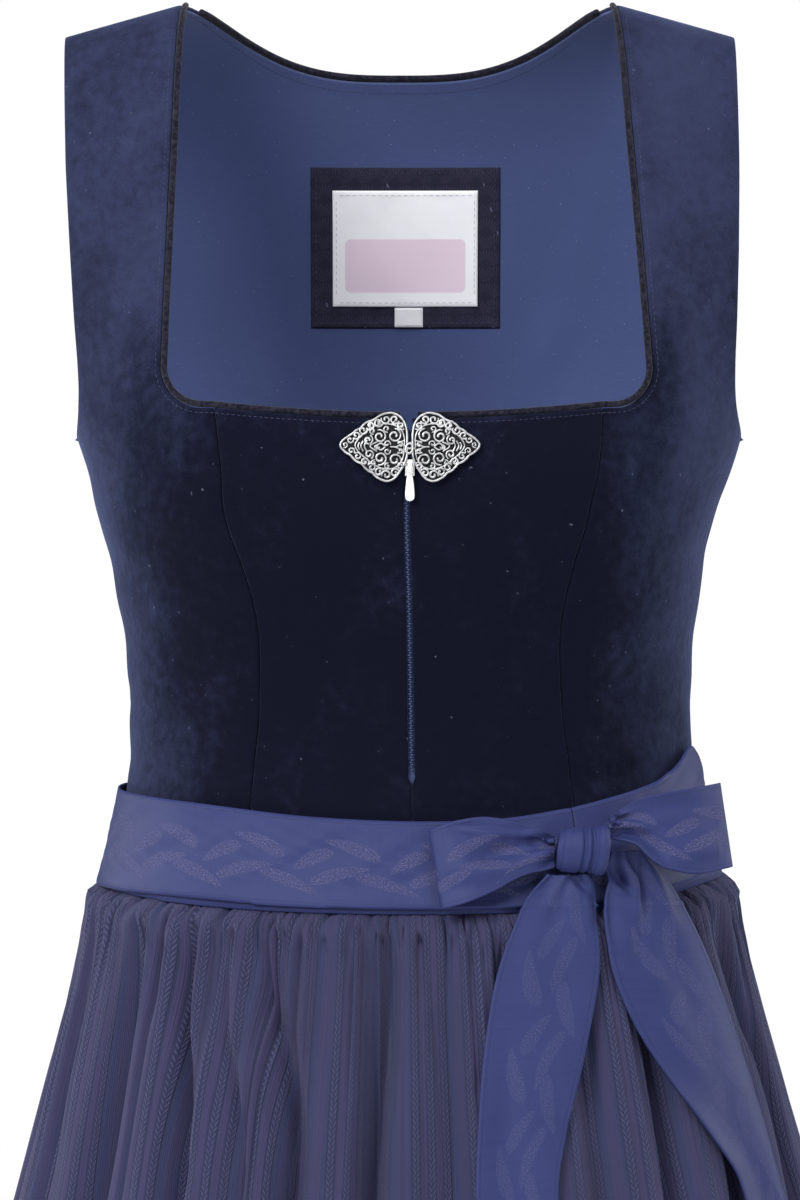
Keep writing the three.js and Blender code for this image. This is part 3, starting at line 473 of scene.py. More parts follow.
def centre_panel(u, seam):
    """The front centre panel's surface on the wearer's left, by share across and distance down the seam."""
    share = (seam - CENTRE_TOP) / (SEAM_LOW - CENTRE_TOP)
    dip = between(NECK_DIP, waist_along(0) - SEAM_LOW, share)
    zip_edge = np.where(seam < along_at(ZIP_END), ZIP_HALF, HALF_GAP)
    x = between(zip_edge, princess_x(seam) - HALF_GAP, u)
    return body_point(-1, turn_at(x, seam), seam + dip * (1 - u * u))


# Creases by side: from (x, z) to (x, z), depth, width.
FRONT_CREASES = [
    (-128, -300, -78, -322, 1.3, 6), (-126, -330, -66, -336, 1.1, 5), (-60, -250, -36, -300, 0.8, 7),
    (-124, -272, -88, -296, 0.9, 7), (-138, -238, -104, -258, 0.8, 7),
    (128, -305, 82, -324, 1.3, 6), (126, -334, 70, -338, 1.1, 5), (64, -245, 40, -300, 0.8, 7),
    (126, -276, 90, -300, 0.9, 7), (140, -234, 108, -252, 0.8, 7),
    (-24, -345, 8, -336, 0.7, 5), (20, -300, 44, -318, 0.7, 6), (-116, -60, -140, -84, 0.7, 7),
    (118, -66, 140, -92, 0.7, 7),
]
side_u, side_dip = seam_shares(62, 22)
side_rows = np.concatenate([np.linspace(0, CORNER_ROW, 48)[:-1], np.linspace(CORNER_ROW, SEAM_ROW, 37)[:-1],
                            np.linspace(SEAM_ROW, LAST_ROW, 66)])
# The side edge doesn't roll in where the armhole meets the side seam.
underarm = np.exp(-((side_rows[:, None] - SEAM_ROW) / 0.4) ** 2) * side_u ** 4
side_dips = side_dip * (1 - underarm)
centre_u, centre_dip = seam_shares(74, 26)
centre_seam = np.linspace(CENTRE_TOP, SEAM_LOW, 76)
FRONT_PANELS = {   # the surface on the wearer's left, and the dips by its seams
    "side": (side_panel(side_u[None, :], side_rows[:, None]), side_dips[..., None]),
    "centre": (centre_panel(centre_u[None, :], centre_seam[:, None]), centre_dip[None, :, None]),
}
for side, sign in (("right", -1), ("left", 1)):
    for kind, (left_surface, dips) in FRONT_PANELS.items():
        surface = hung(left_surface, sign)
        surface = creased(surface, FRONT_CREASES) - outward(surface) * dips
        panel = cloth_mesh(f"velvet_front_{kind}_{side}", surface, VELVET, [velvet, lining_cloth])
        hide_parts(f"bodice_front_{kind}_{side}")

BACK_NECK_DROP = 51
SHARE_POWER = 1.2
NECK_SHARE = float((turn_at(NECK_HALF, 0) / outer_turn(0)) ** (1 / SHARE_POWER))


def back_panel(share, v):
    """The back's surface, by signed share across, from -1 to 1, and share down."""
    aside = np.abs(share)
    along = between(BACK_NECK_DROP * (1 - np.minimum(aside / NECK_SHARE, 1) ** 3), SIDE_LOW, v)
    return hung(body_point(1, outer_turn(along) * aside ** SHARE_POWER, along), np.where(share < 0, -1, 1))


BACK_CREASES = [
    (-120, -290, -64, -318, 1.2, 6), (118, -296, 60, -322, 1.2, 6), (-100, -240, -70, -286, 0.9, 7),
    (104, -236, 76, -284, 0.9, 7), (-30, -322, 34, -330, 0.9, 6), (-126, -70, -104, -112, 0.8, 8),
    (124, -74, 104, -110, 0.8, 8),
]
half_shares = np.concatenate([np.linspace(0, NECK_SHARE, 26), np.linspace(NECK_SHARE, 0.985, 22)[1:],
                              [0.992, 0.997, 1]])
back_shares = np.concatenate([-half_shares[:0:-1], half_shares])
back_down = np.concatenate([[0, 0.002, 0.006], np.linspace(0.015, 0.3, 30), np.linspace(0.3, 1, 60)[1:]])
back_surface = back_panel(back_shares[None, :], back_down[:, None])
edge_dip = np.interp(np.abs(back_shares), [0, 0.985, 0.992, 0.997, 1], [0, 0, 0.1, 0.5, 1.4])
surface = creased(back_surface, BACK_CREASES) - outward(back_surface) * edge_dip[None, :, None]
panel = cloth_mesh("velvet_back", surface, VELVET, [velvet])
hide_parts("bodice_back")

# ---------------------------------------------------------------- back lining
# Plain blue cotton with a few slubs, cut like the back and sewn inside it. A row of small stitches holds it
# under the neck edge.
LINING_CREASES = [
    (-70, -150, -48, -190, 1.0, 8), (60, -160, 76, -120, 0.9, 8), (-96, -90, -86, -140, 0.9, 7),
    (92, -60, 84, -110, 0.9, 7), (-20, -166, 30, -174, 0.7, 7), (-60, -60, -52, -120, 0.6, 6),
    (56, -70, 50, -130, 0.6, 6),
]
LINING_GAP, LINING = 0.3, 1.0
surface = creased(back_surface, LINING_CREASES) - outward(back_surface) * (VELVET + LINING_GAP)
lining = cloth_mesh("cotton_back_lining", surface, LINING, [lining_cloth])
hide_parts("lining_back")


def ring_faces(rings, sides):
    """The faces of a closed shape through rings of corners, with a flat end at each end."""
    faces = []
    for low in range(0, (rings - 1) * sides, sides):
        for k in range(sides):
            after = (k + 1) % sides
            faces.append((low + k, low + after, low + sides + after, low + sides + k))
    last = (rings - 1) * sides
    return faces + [tuple(range(sides))[::-1], tuple(range(last, last + sides))]


def tube(path, radius, sides=8):
    """The corners and faces of a round bar along a path, whose radius may change, closed at both ends."""
    path = np.asarray(path, float)
    tangent = np.gradient(path, axis=0)
    tangent /= np.linalg.norm(tangent, axis=1, keepdims=True) + 1e-12
    upward = np.where(np.abs(tangent[:, 1:2]) > 0.9, (0, 0, 1), (0, 1, 0))
    side = np.cross(tangent, upward)
    side /= np.linalg.norm(side, axis=1, keepdims=True)
    other = np.cross(side, tangent)
    turn = np.linspace(0, 2 * np.pi, sides, endpoint=False)
    reach = np.broadcast_to(radius, len(path))[:, None, None]
    rings = path[:, None] + reach * (np.cos(turn)[None, :, None] * side[:, None]
                                     + np.sin(turn)[None, :, None] * other[:, None])
    return rings.reshape(-1, 3), ring_faces(len(path), sides)


def solid(name, parts, material, body="dress"):
    """One piece of several parts, each given by its corners and faces."""
    corners, faces = [], []
    for points, polygons in parts:
        faces += [tuple(int(k) + len(corners) for k in polygon) for polygon in polygons]
        corners += (np.asarray(points) * MM).tolist()
    mesh = bpy.data.meshes.new(name)
    mesh.from_pydata(corners, [], faces)
    mesh.shade_smooth()
    mesh.materials.append(material)
    piece = placed(name, mesh)
    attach(piece, body)
    return piece


def stitches(path, length, pitch, radius):
    """Short stitches along a path: the parts for solid()."""
    run = np.concatenate([[0], np.cumsum(np.linalg.norm(np.diff(path, axis=0), axis=1))])
    parts = []
    for start in np.arange(pitch / 2, run[-1] - length, pitch):
        at = np.linspace(start, start + length, 4)
        points = np.stack([np.interp(at, run, path[:, k]) for k in range(3)], -1)
        parts.append(tube(points, radius * np.array([0.5, 1, 1, 0.5]), 5))
    return parts


dark_thread = new_material("dark_thread", Roughness=0.7)
finish(blend(noise(900, place()), (0.012, 0.015, 0.045), (0.03, 0.04, 0.1)))
neck_shares = np.linspace(-NECK_SHARE * 0.99, NECK_SHARE * 0.99, 120)
neck_line = back_panel(neck_shares[None, :], np.array([[0.006], [0.012], [0.018]]))
neck_line = (neck_line - outward(neck_line) * (VELVET + LINING_GAP + LINING + 0.05))[1]
piece = solid("lining_neck_stitches", stitches(neck_line, 1.9, 2.6, 0.16), dark_thread)

# ---------------------------------------------------------------- neck piping
# A cord covered with bias-cut velvet, sewn along the neck edge of the fronts and the back, and a line of
# fine stitches in the velvet beside it.
PIPING = 1.4
piping_velvet = new_material("piping_velvet", Sheen_Weight=0.15, Sheen_Roughness=0.4, Roughness=0.95,
                             Specular_IOR_Level=0.06)
pile = noise(600, place(), 3)
finish(blend(pile.rise(0.35, 0.7), (0.006, 0.006, 0.012), (0.022, 0.021, 0.034)), pile, 0.0003, 0.8)


def beside(edge, out, towards, distance):
    """A path that runs beside an edge of the cloth, at a distance towards a point."""
    tangent = np.gradient(edge, axis=0)
    side = np.cross(tangent, out)
    side /= np.linalg.norm(side, axis=1, keepdims=True)
    side *= np.sign((side * (towards - edge)).sum(1))[:, None]
    return edge + side * distance


def along_neck(strap, top, distance, raised):
    """A path beside a front's neck edge, down the strap and in to the zip."""
    runs = []
    for edge, out, above in ((strap[:, 0], outward(strap)[:, 0], 40), (top[0], outward(top)[0], 200)):
        runs.append(beside(edge, out, np.array([0, 0, above]), distance) + out * raised)
    return np.concatenate(runs)


CORD_ASIDE, CORD_SUNK = PIPING + 0.3, 0.8
strap_rows = np.linspace(1, SEAM_ROW - 1, 90)[:, None]
top_rows = CENTRE_TOP + np.array([[0], [0.5], [1]])
for side, sign in (("right", -1), ("left", 1)):
    strap = hung(side_panel(np.array([[0, 0.01, 0.02]]), strap_rows), sign)
    top = hung(centre_panel(np.linspace(1, 0.03, 40)[None, :], top_rows), sign)
    path = along_neck(strap, top, CORD_ASIDE, -CORD_SUNK)
    cord = solid(f"velvet_neck_piping_{side}", [tube(path, PIPING, 10)], piping_velvet)
    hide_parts(f"neck_piping_{side}")
    path = along_neck(strap, top, -2.2, 0.02)
    piece = solid(f"neck_stitches_{side}", stitches(path[4:-3], 1.7, 2.5, 0.14), dark_thread)
edge = back_panel(np.linspace(-NECK_SHARE, NECK_SHARE, 90)[None, 3:-3], np.array([[0], [0.002], [0.004]]))
out = outward(edge)[0]
path = beside(edge[0], out, np.array([0, 0, 400]), CORD_ASIDE) - out * CORD_SUNK
cord = solid("velvet_neck_piping_back", [tube(path, PIPING, 10)], piping_velvet)
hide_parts("neck_piping_back")

# ---------------------------------------------------------------- zip
# A dark blue nylon coil zip on woven tape, sewn between the two fronts. Its slider is parked at the top under
# the clasp, and a bright drop-shaped pull tab hangs from the slider's bridge and turns on it.
ZIP_TOP = -187
COIL_PITCH = 1.05


def front_point(x, z, raised):
    """A point of the fronts' outer face, raised off the velvet."""
    x, z, raised = np.broadcast_arrays(x, z, raised)
    along = along_at(z)
    aside = np.minimum(np.abs(x - sway(z)) / body_half(along), 1)
    depth = body_front(along) * (1 - aside ** SUPERELLIPSE) ** (1 / SUPERELLIPSE)
    return np.stack([x, -(HALF_GAP + depth + raised), z], -1)


zip_tape = new_material("zip_tape", Roughness=0.9)
wefts = on_cloth()[1].sine(0.7)
finish(blend(wefts * 0.5 + 0.5, (0.02, 0.03, 0.09), (0.045, 0.065, 0.17)), wefts, 0.0001, 0.5)
z = np.linspace(ZIP_TOP, ZIP_END - 6, 80)[:, None]
points = front_point(sway(z) + np.linspace(-3.5, 3.5, 13)[None, :], z, -VELVET - 1.0)
tape = cloth_mesh("zip_woven_tape", points, 0.6, [zip_tape], facing=(0, -1, 0))
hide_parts("zip_chain")

coil_nylon = new_material("coil_nylon", Roughness=0.38, Specular_IOR_Level=0.5)
finish(blend(noise(400, place()), (0.022, 0.035, 0.1), (0.045, 0.065, 0.16)))
parts = []
for n in range(int((ZIP_TOP - ZIP_END) / COIL_PITCH)):
    z = ZIP_TOP - n * COIL_PITCH
    sign = 1 if n % 2 else -1
    t = np.linspace(0, 1, 7)
    x = float(sway(z)) + sign * (0.8 - 1.1 * t)
    tooth = front_point(x, z - 0.25 * np.sin(np.pi * t), -1.55 + 0.75 * np.sin(np.pi * t) ** 0.7)
    parts.append(tube(tooth, 0.3 * np.array([0.8, 1, 1, 1, 1.1, 1.25, 0.7]), 6))
coil = solid("zip_coil_teeth", parts, coil_nylon)

bright_metal = new_material("bright_metal", Metallic=1.0)
polish = noise(700, place(), 2, (1, 1, 0.15))
finish(blend(polish, (0.93, 0.93, 0.93), (0.99, 0.99, 0.98)), polish, 0.00003, 0.3,
       Roughness=polish * 0.15 + 0.42)
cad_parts["zip_slider"].data.materials.clear()
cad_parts["zip_slider"].data.materials.append(bright_metal)

# The tab by the distance below its pivot: half width and half thickness. A wire loop at its top goes through
# the slider's bridge.
TAB_PIVOT = np.array([2.4, -113.35, -203.5])
TAB_SIDES = 20
tab_rows = np.concatenate([np.linspace(2, 12, 24), np.linspace(12, 14.4, 14)[1:]])
tab_half, tab_thick = curves([
    (2, 0.7, 0.4), (3, 1.05, 0.5), (5, 1.5, 0.5), (8, 1.85, 0.5), (11.5, 2.1, 0.5), (13, 1.95, 0.5),
    (13.9, 1.3, 0.42), (14.4, 0.2, 0.15)])
turn = np.linspace(0, 2 * np.pi, TAB_SIDES, endpoint=False)[None, :]
below = tab_rows[:, None]
depth = tab_thick(below) * np.sign(np.sin(turn)) * np.abs(np.sin(turn)) ** 0.6
corners = TAB_PIVOT + np.stack(np.broadcast_arrays(tab_half(below) * np.cos(turn), depth, -below), -1)
drop = corners.reshape(-1, 3), ring_faces(len(tab_rows), TAB_SIDES)
turn = np.linspace(0, 2 * np.pi, 25)
eye = TAB_PIVOT + np.stack([1.25 * np.sin(turn), 0 * turn, -0.95 + 1.45 * np.cos(turn)], -1)
tab = solid("pull_tab_drop", [drop, tube(eye, 0.42, 8)], bright_metal, "pull_tab")
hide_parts("zip_pull_tab")

# ---------------------------------------------------------------- clasp
# Two cast halves of antique silver-coloured metal, sewn to the fronts with their points outwards. Each is a
# leaf of scrolls and arches inside a scalloped rim, blackened in the gaps. A small hook and eye joins them.
CLASP_X, CLASP_Z, CLASP_RAISED = 2.4, -195, 1.7
# Coordinates of the wearer's left half: outwards from the join, and up.
LEAF_OUTLINE = [
    (1.2, -2.5), (1.2, 1.5), (1.2, 6), (2.1, 10.4), (4.4, 13.5), (7.4, 14.9), (10, 14.8), (12.6, 14),
    (14.6, 12.6), (16.2, 11.7), (18.2, 11.1), (19.8, 9.9), (21.2, 8.4), (23, 7.5), (24.4, 6.2), (26, 5.2),
    (27.6, 4.1), (29.2, 2.6), (29.7, 0.9), (28.6, -0.8), (27, -2.2), (25.4, -3.1), (24.2, -4.5),
    (22.6, -5.9), (20.6, -6.8), (19.4, -8.2), (17.8, -9.8), (15.8, -10.8), (14.6, -12.2), (12.6, -13.4),
    (10.4, -14.2), (8.4, -14), (6.4, -12.8), (4.6, -10.5), (2.6, -7.2), (1.5, -4.4)]
HEART = [
    (2.4, 0), (2.4, 4.4), (3.8, 7.9), (7, 9.8), (11.6, 10.2), (16, 8.8), (19.6, 6.2), (22.4, 3.2),
    (23.4, 0.9), (22, -1.6), (19, -4.4), (15.4, -7.2), (11.4, -9), (7.4, -8.9), (4.4, -7), (2.8, -3.8)]
# Scrolls: centre, outer radius, heading of the open end in degrees, turns (negative: clockwise), thickness.
SCROLLS = [
    (6.6, 5.2, 3.1, 90, 1.3, 0.42), (6.4, -5.2, 3.1, -90, -1.3, 0.42), (12.9, 4.8, 3.0, 70, 1.3, 0.44),
    (12.7, -4.5, 3.0, -70, -1.3, 0.44), (17.8, 3.3, 2.2, 110, 1.2, 0.4), (17.4, -2.8, 2.1, -110, -1.2, 0.4),
    (9.7, 1.7, 1.5, 200, -1.0, 0.34), (9.7, -1.5, 1.5, -200, 1.0, 0.34), (4.0, 1.3, 1.3, 20, 1.0, 0.34),
    (4.0, -1.3, 1.3, -20, -1.0, 0.34), (14.2, 0.4, 1.2, 180, 1.0, 0.34), (9.9, 8.1, 1.5, 250, 1.0, 0.36),
    (9.6, -7.9, 1.4, 110, -1.0, 0.36), (15.9, 7.1, 1.4, 250, 1.0, 0.36), (15.4, -6.5, 1.3, 110, -1.0, 0.36),
    (3.8, 9.4, 1.9, 220, 1.1, 0.42), (6.5, 12.2, 2.1, 200, 1.1, 0.44), (10.2, 12.1, 2.1, 20, -1.1, 0.44),
    (13.5, 10.8, 2.0, 200, 1.1, 0.44), (16.9, 9.5, 2.0, 330, -1.1, 0.44), (20.1, 7.5, 2.0, 150, 1.1, 0.42),
    (22.9, 5.4, 1.8, 320, -1.1, 0.42), (25.5, 3.4, 1.6, 140, 1.0, 0.38), (27.7, 1.3, 1.3, 300, -1.0, 0.36),
    (3.8, -7.9, 1.8, 150, -1.1, 0.42), (6.4, -10.8, 2.0, 160, -1.1, 0.44), (10, -11.6, 2.1, 340, 1.1, 0.44),
    (13.2, -10.4, 2.0, 160, -1.1, 0.44), (16.3, -8.4, 1.9, 30, 1.1, 0.42), (19.3, -6, 1.9, 210, -1.1, 0.42),
    (22.3, -3.6, 1.7, 40, 1.1, 0.4), (25, -1.3, 1.5, 220, -1.0, 0.38)]
# Ribs and stems: three points of an arch, and the thickness.
ARCHES = [
    ((18.2, 3.4), (19.4, 0.8), (18.2, -1.9), 0.42), ((19.9, 3), (20.9, 0.8), (19.9, -1.5), 0.42),
    ((21.4, 2.4), (22.1, 0.8), (21.4, -0.9), 0.4), ((10.4, 0.6), (12.4, 1.9), (14.6, 0.7), 0.4),
    ((10.4, 0.4), (12.4, -0.9), (14.6, 0.5), 0.4), ((3, 1.8), (6, 0.4), (8.4, 0.5), 0.34),
    ((3, -1.4), (6, 0.2), (8.4, 0.4), 0.34), ((13.8, 2.6), (17, 0.7), (14, -1.6), 0.34),
    ((3.6, 7.4), (5, 9), (3.2, 9.4), 0.34), ((6, 9.4), (7.2, 10.4), (6.6, 11.4), 0.36),
    ((13.2, 9.9), (13.6, 10.6), (13.4, 11.4), 0.36), ((16.6, 8.6), (17, 9.4), (16.8, 10), 0.36),
    ((12.8, -8.6), (12.6, -9.6), (12.9, -10.6), 0.36), ((19.4, -4.3), (19.6, -5.4), (19.2, -6.2), 0.36),
    ((2.2, 3.2), (4, 2.6), (5.4, 2.9), 0.3), ((2.2, -2.6), (4, -2.2), (5.4, -2.4), 0.3),
]


def spiral(x, z, radius, heading, turns):
    """A scroll that winds in to its centre from its open end."""
    t = np.linspace(0, 1, 26)
    angle = math.radians(heading) + turns * 2 * np.pi * t
    reach = radius * (1 - 0.72 * t)
    return np.stack([x + reach * np.cos(angle), z + reach * np.sin(angle)], -1)


def rounded(points, count, closed):
    """A smooth line through some points of the clasp."""
    line = np.array(points + points[:1] if closed else points, float)
    run = np.concatenate([[0], np.cumsum(np.linalg.norm(np.diff(line, axis=0), axis=1) ** 0.5)])
    smooth_x, smooth_z = curves(np.column_stack([run, line]))
    t = np.linspace(0, run[-1], count)
    return np.stack([smooth_x(t), smooth_z(t)], -1)


def on_clasp(line, sign, raised):
    """A line of the clasp's drawing, laid on the plate."""
    return front_point(CLASP_X + sign * line[:, 0], CLASP_Z + line[:, 1], CLASP_RAISED + raised)


RIM_POINTS = 150
# The blackened ground, from its edge inwards: share of the way to the middle, and how far it is raised.
GROUND = [(0.02, -0.3), (0.02, 0.1), (0.05, 0.25), (0.35, 0.25), (0.7, 0.25), (0.97, 0.25)]
silver = new_material("antique_silver", Metallic=1.0)
tarnish = noise(500, place(), 3)
worn = noise(160, place(), 2)
silver_colour = blend(tarnish.rise(0.35, 0.75), (0.55, 0.55, 0.56), (0.34, 0.34, 0.35))
silver_colour = blend(worn.rise(0.5, 0.7) * 0.6, silver_colour, (0.7, 0.7, 0.71))
finish(silver_colour, tarnish, 0.00012, 0.6, Roughness=worn * 0.25 + 0.28)
blackened = new_material("blackened_metal", Specular_IOR_Level=0.2, Roughness=0.7)
finish(blend(noise(500, place()), (0.004, 0.004, 0.005), (0.012, 0.012, 0.013)))
for side, sign in (("right", -1), ("left", 1)):
    rim = rounded(LEAF_OUTLINE, RIM_POINTS, True)
    centre = rim.mean(0)
    rings = [on_clasp(between(rim, centre, share), sign, raised) for share, raised in GROUND]
    corners = np.concatenate(rings)
    back = solid(f"clasp_{side}_ground", [(corners, ring_faces(len(GROUND), RIM_POINTS))], blackened)
    # The rim, a heart-shaped line inside it, scrolls that end in beads, and ribs stand on the ground.
    heart = rounded(HEART, 90, True)
    parts = [tube(on_clasp(rim, sign, 0.75), 0.52, 8), tube(on_clasp(heart, sign, 0.8), 0.34, 7)]
    for x, z, radius, heading, turns, thick in SCROLLS:
        line = spiral(x, z, radius, heading, turns)
        parts.append(tube(on_clasp(line, sign, 0.8), thick * np.linspace(0.9, 1.35, len(line)), 7))
        bead = on_clasp(np.array([line[-1] - 0.01, line[-1], line[-1] + 0.01]), sign, 0.95)
        dome = np.linspace(-1, 1, 7)
        bead = bead[1] + np.stack([0 * dome, dome * thick * 1.1, 0 * dome], -1)
        parts.append(tube(bead, thick * 1.1 * np.sqrt(np.maximum(1 - dome ** 2, 0.02)), 8))
    for start, middle, end, thick in ARCHES:
        line = rounded([start, middle, end], 12, False)
        parts.append(tube(on_clasp(line, sign, 0.85), thick, 6))
    casting = solid(f"clasp_{side}_scrolls", parts, silver)
    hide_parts(f"clasp_{side}")

# The hook is a small bent wire that lies over the join, and its eye is a bar across it.
HOOK = [(-1.9, -1.4), (-1.2, 1.2), (0.2, 1.9), (1.1, 0.6), (0.9, -1.6), (-0.6, -2.4)]
EYE = np.array([(-2.4, -0.2), (-1, -0.3), (0.6, -0.3), (2.6, -0.2)])
parts = [tube(on_clasp(rounded(HOOK, 30, True), 1, 1.2), 0.55, 8), tube(on_clasp(EYE, 1, 1.0), 0.5, 8)]
hook = solid("clasp_hook_and_eye", parts, silver)
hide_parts("clasp_hook")

# ---------------------------------------------------------------- label
# A dark cotton patch with turned edges, sewn inside the back. On it are a white woven label with a bare pink
# panel, and a small white size tab below.


PATCH_OUT = 0.9


def back_inside(x, z, raised):
    """A point inside the back, raised off the patch that lies on the lining."""
    x, z, raised = np.broadcast_arrays(x, z, raised)
    along = along_at(z)
    depth = body_back(along) * (1 - (np.abs(x) / body_half(along)) ** SUPERELLIPSE) ** (1 / SUPERELLIPSE)
    return np.stack([x, HALF_GAP + depth - VELVET - LINING_GAP - LINING - PATCH_OUT - raised, z], -1)


def edge_shares(near, middle):
    """Shares across a label, close together by its two edges."""
    return np.concatenate([near, middle, 1 - np.array(near[::-1])])


def label_plate(name, box, raised, thickness, material, node, soft=0.0):
    """A woven piece inside the back, slightly puckered, with rounded edges."""
    start, end, top, bottom = box
    x = between(start, end, edge_shares([0, 0.006, 0.015, 0.03], np.linspace(0.05, 0.95, 34)))
    z = between(top, bottom, edge_shares([0, 0.008, 0.02, 0.035], np.linspace(0.06, 0.94, 26)))
    x, z = np.meshgrid(x, z)
    aside = np.minimum(np.minimum(x - start, end - x), np.minimum(top - z, z - bottom))
    puff = 0.3 * np.sin(x / 9) * np.sin(z / 7 + 1) + 0.25 * np.sin(x / 4 + z / 11)
    puff = soft * puff * smooth(aside, 0, 5)
    roll = -0.45 * np.exp(-(np.maximum(aside, 0) / 0.5) ** 2)
    points = back_inside(x, z, raised + puff + roll)
    cloth = np.stack([x - (start + end) / 2, z - (top + bottom) / 2], -1)
    plate = cloth_mesh(name, points, thickness, [material], cloth, facing=(0, -1, 0))
    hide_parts(node)


def sewn_round(x_seams, x_run, z_seams, z_run, raised, length, pitch, radius):
    """Stitches along the four edges of a label: the parts for solid()."""
    paths = [back_inside(np.linspace(*x_run, 60), z, raised) for z in z_seams]
    paths += [back_inside(x, np.linspace(*z_run, 40), raised) for x in x_seams]
    return [part for path in paths for part in stitches(path, length, pitch, radius)]


fan_print = new_material("fan_printed_cotton", Roughness=0.85, Specular_IOR_Level=0.2)
across, down, flat_place = on_cloth()
# Rows of small fans of rays, each row half a fan beside the last, and a few pale ticks over them.
FAN_WIDTH, FAN_HEIGHT = 9.4, 7.5
shift = (down / FAN_HEIGHT).math("FLOOR").within(2) * (FAN_WIDTH / 2)
x = (across + shift).within(FAN_WIDTH) - FAN_WIDTH / 2
y = down.within(FAN_HEIGHT)
reach = (x * x + y * y).math("SQRT")
ray = x.math("ARCTAN2", y).sine(0.24).rise(0.1, 0.8)
fan = ray * reach.rise(2.2, 2.8) * (1 - reach.rise(6.2, 6.8))
tick = (1 - (across + down * 0.3).within(15).rise(0.5, 0.8)) * (1 - (down + 5).within(11).rise(1.6, 2))
tick = tick * noise(0.13, flat_place, 0).rise(0.5, 0.55)
patch_colour = blend(noise(0.5, flat_place), (0.012, 0.011, 0.026), (0.02, 0.018, 0.038))
patch_colour = blend(fan * 0.5, patch_colour, (0.05, 0.046, 0.085))
patch_colour = blend(tick * 0.7, patch_colour, (0.16, 0.14, 0.26))
finish(patch_colour, across.sine(0.6) * down.sine(0.6), 0.0001, 0.4)
label_plate("printed_patch", (-43.5, 45, -58.5, -132.5), 0, 0.8, fan_print, "label_patch", 1)

white_label = new_material("white_woven_label", Roughness=0.55, Specular_IOR_Level=0.35, Sheen_Weight=0.2)
across, down, flat_place = on_cloth()
PINK_HALF, PINK_TOP, PINK_BOTTOM, PINK_ROUND = 28.2, 4.6, -20.2, 2.6
over = (abs(across) - (PINK_HALF - PINK_ROUND)).math("MAXIMUM", 0)
off = abs(down - (PINK_TOP + PINK_BOTTOM) / 2) - ((PINK_TOP - PINK_BOTTOM) / 2 - PINK_ROUND)
off = off.math("MAXIMUM", 0)
pink = 1 - (over * over + off * off).math("SQRT").rise(PINK_ROUND - 0.25, PINK_ROUND + 0.1)
satin_weave = (across + down * 2).sine(0.7) * 0.5 + 0.5
label_colour = blend(pink, (0.93, 0.93, 0.96), (0.8, 0.63, 0.74))
label_colour = blend(satin_weave * 0.12, label_colour, (0.55, 0.53, 0.6))
label_colour = blend(noise(0.12, flat_place) * 0.2, label_colour, (0.62, 0.61, 0.68))
finish(label_colour, satin_weave, 0.00008, 0.5)
label_plate("white_label", (-33.3, 34.6, -69, -122.6), 1.1, 0.6, white_label, "label_white",
            0.6)

plain_white = new_material("white_tab", Roughness=0.6)
across, down, flat_place = on_cloth()
weave = across.sine(0.5) * down.sine(0.5)
finish(blend(noise(0.3, flat_place), (0.72, 0.72, 0.76), (0.84, 0.84, 0.87)), weave, 0.0001, 0.5)
label_plate("size_tab_plain", (-4.3, 8.9, -123, -132), 1.1, 0.6, plain_white, "size_tab", 0)

light_thread = new_material("light_thread", Roughness=0.6)
finish(blend(noise(900, place()), (0.36, 0.36, 0.44), (0.6, 0.6, 0.68)))
parts = sewn_round((-31.6, 32.9), (-31.5, 32.8), (-71.2, -120.6), (-72.5, -119.5), 1.18, 1.7, 3.0, 0.16)
piece = solid("label_stitches", parts, light_thread)
parts = sewn_round((-41, 42.5), (-41, 42.5), (-61, -130), (-62, -129), 0.1, 1.9, 2.9, 0.14)
piece = solid("patch_stitches", parts, dark_thread)

# ---------------------------------------------------------------- skirt
# Two panels of plain dark blue cotton, gathered into the waist seam and joined at the sides. The cloth falls
# from the gathers in big soft folds of uneven depth.
skirt_half, skirt_front, skirt_back = curves([
    (-1030, 313, 273, 278), (-920, 283, 246, 250), (-820, 256, 221, 224), (-720, 229, 196, 198),
    (-620, 202, 171, 172), (-530, 177.6, 148, 148), (-480, 164, 135, 134), (-440, 153, 124, 121),
    (-412, 145.5, 116, 110), (-392.3, 140.3, 109, 101)])
SIDE_SEAM_ANGLE = 99
SKIRT_HEM = -1030


def ring(degrees, z, out):
    """A point round the dress at an angle from the front and a height, moved out from its section there."""
    degrees, z, out = np.broadcast_arrays(degrees, z, out)
    angle = np.radians(degrees)
    front = np.abs((degrees + 540) % 360 - 180) < 90
    low = z < -390
    half = np.where(low, skirt_half(z), body_half(along_at(z))) + out
    depth = np.where(low, np.where(front, skirt_front(z), skirt_back(z)),
                     np.where(front, body_front(along_at(z)), body_back(along_at(z)))) + out
    power = between(2.05, SUPERELLIPSE, smooth(z, -560, -390))
    reach = (np.abs(np.sin(angle) / half) ** power + np.abs(np.cos(angle) / depth) ** power) ** (-1 / power)
    return np.stack([reach * np.sin(angle) + sway(z), -reach * np.cos(angle), z], -1)


# The valleys between the big folds, at the hem: angle from the front, depth next to the deepest, and how far
# the fold after it leans towards it.
VALLEYS = np.array([
    (-99, 0.7, 0), (-86, 0.75, 0.12), (-72, 0.5, -0.1), (-58, 1, 0), (-41.5, 1.05, -0.16), (-31, 0.4, -0.14),
    (-22.6, 0.9, -0.05), (-8.4, 1.05, -0.17), (5, 0.45, 0.1), (18, 0.75, -0.1), (31, 0.5, 0.1), (43, 0.95, 0),
    (56, 0.7, 0.14), (70, 0.95, -0.1), (84, 0.6, 0.12), (99, 0.8, 0), (113, 0.9, -0.14), (128, 0.6, 0.1),
    (141, 1, 0), (156, 0.7, 0.15), (169, 0.95, -0.15), (183, 0.55, 0.1), (197, 1, 0), (210, 0.7, -0.12),
    (225, 0.95, 0.1), (240, 0.6, 0), (261, 0.7, 0)])
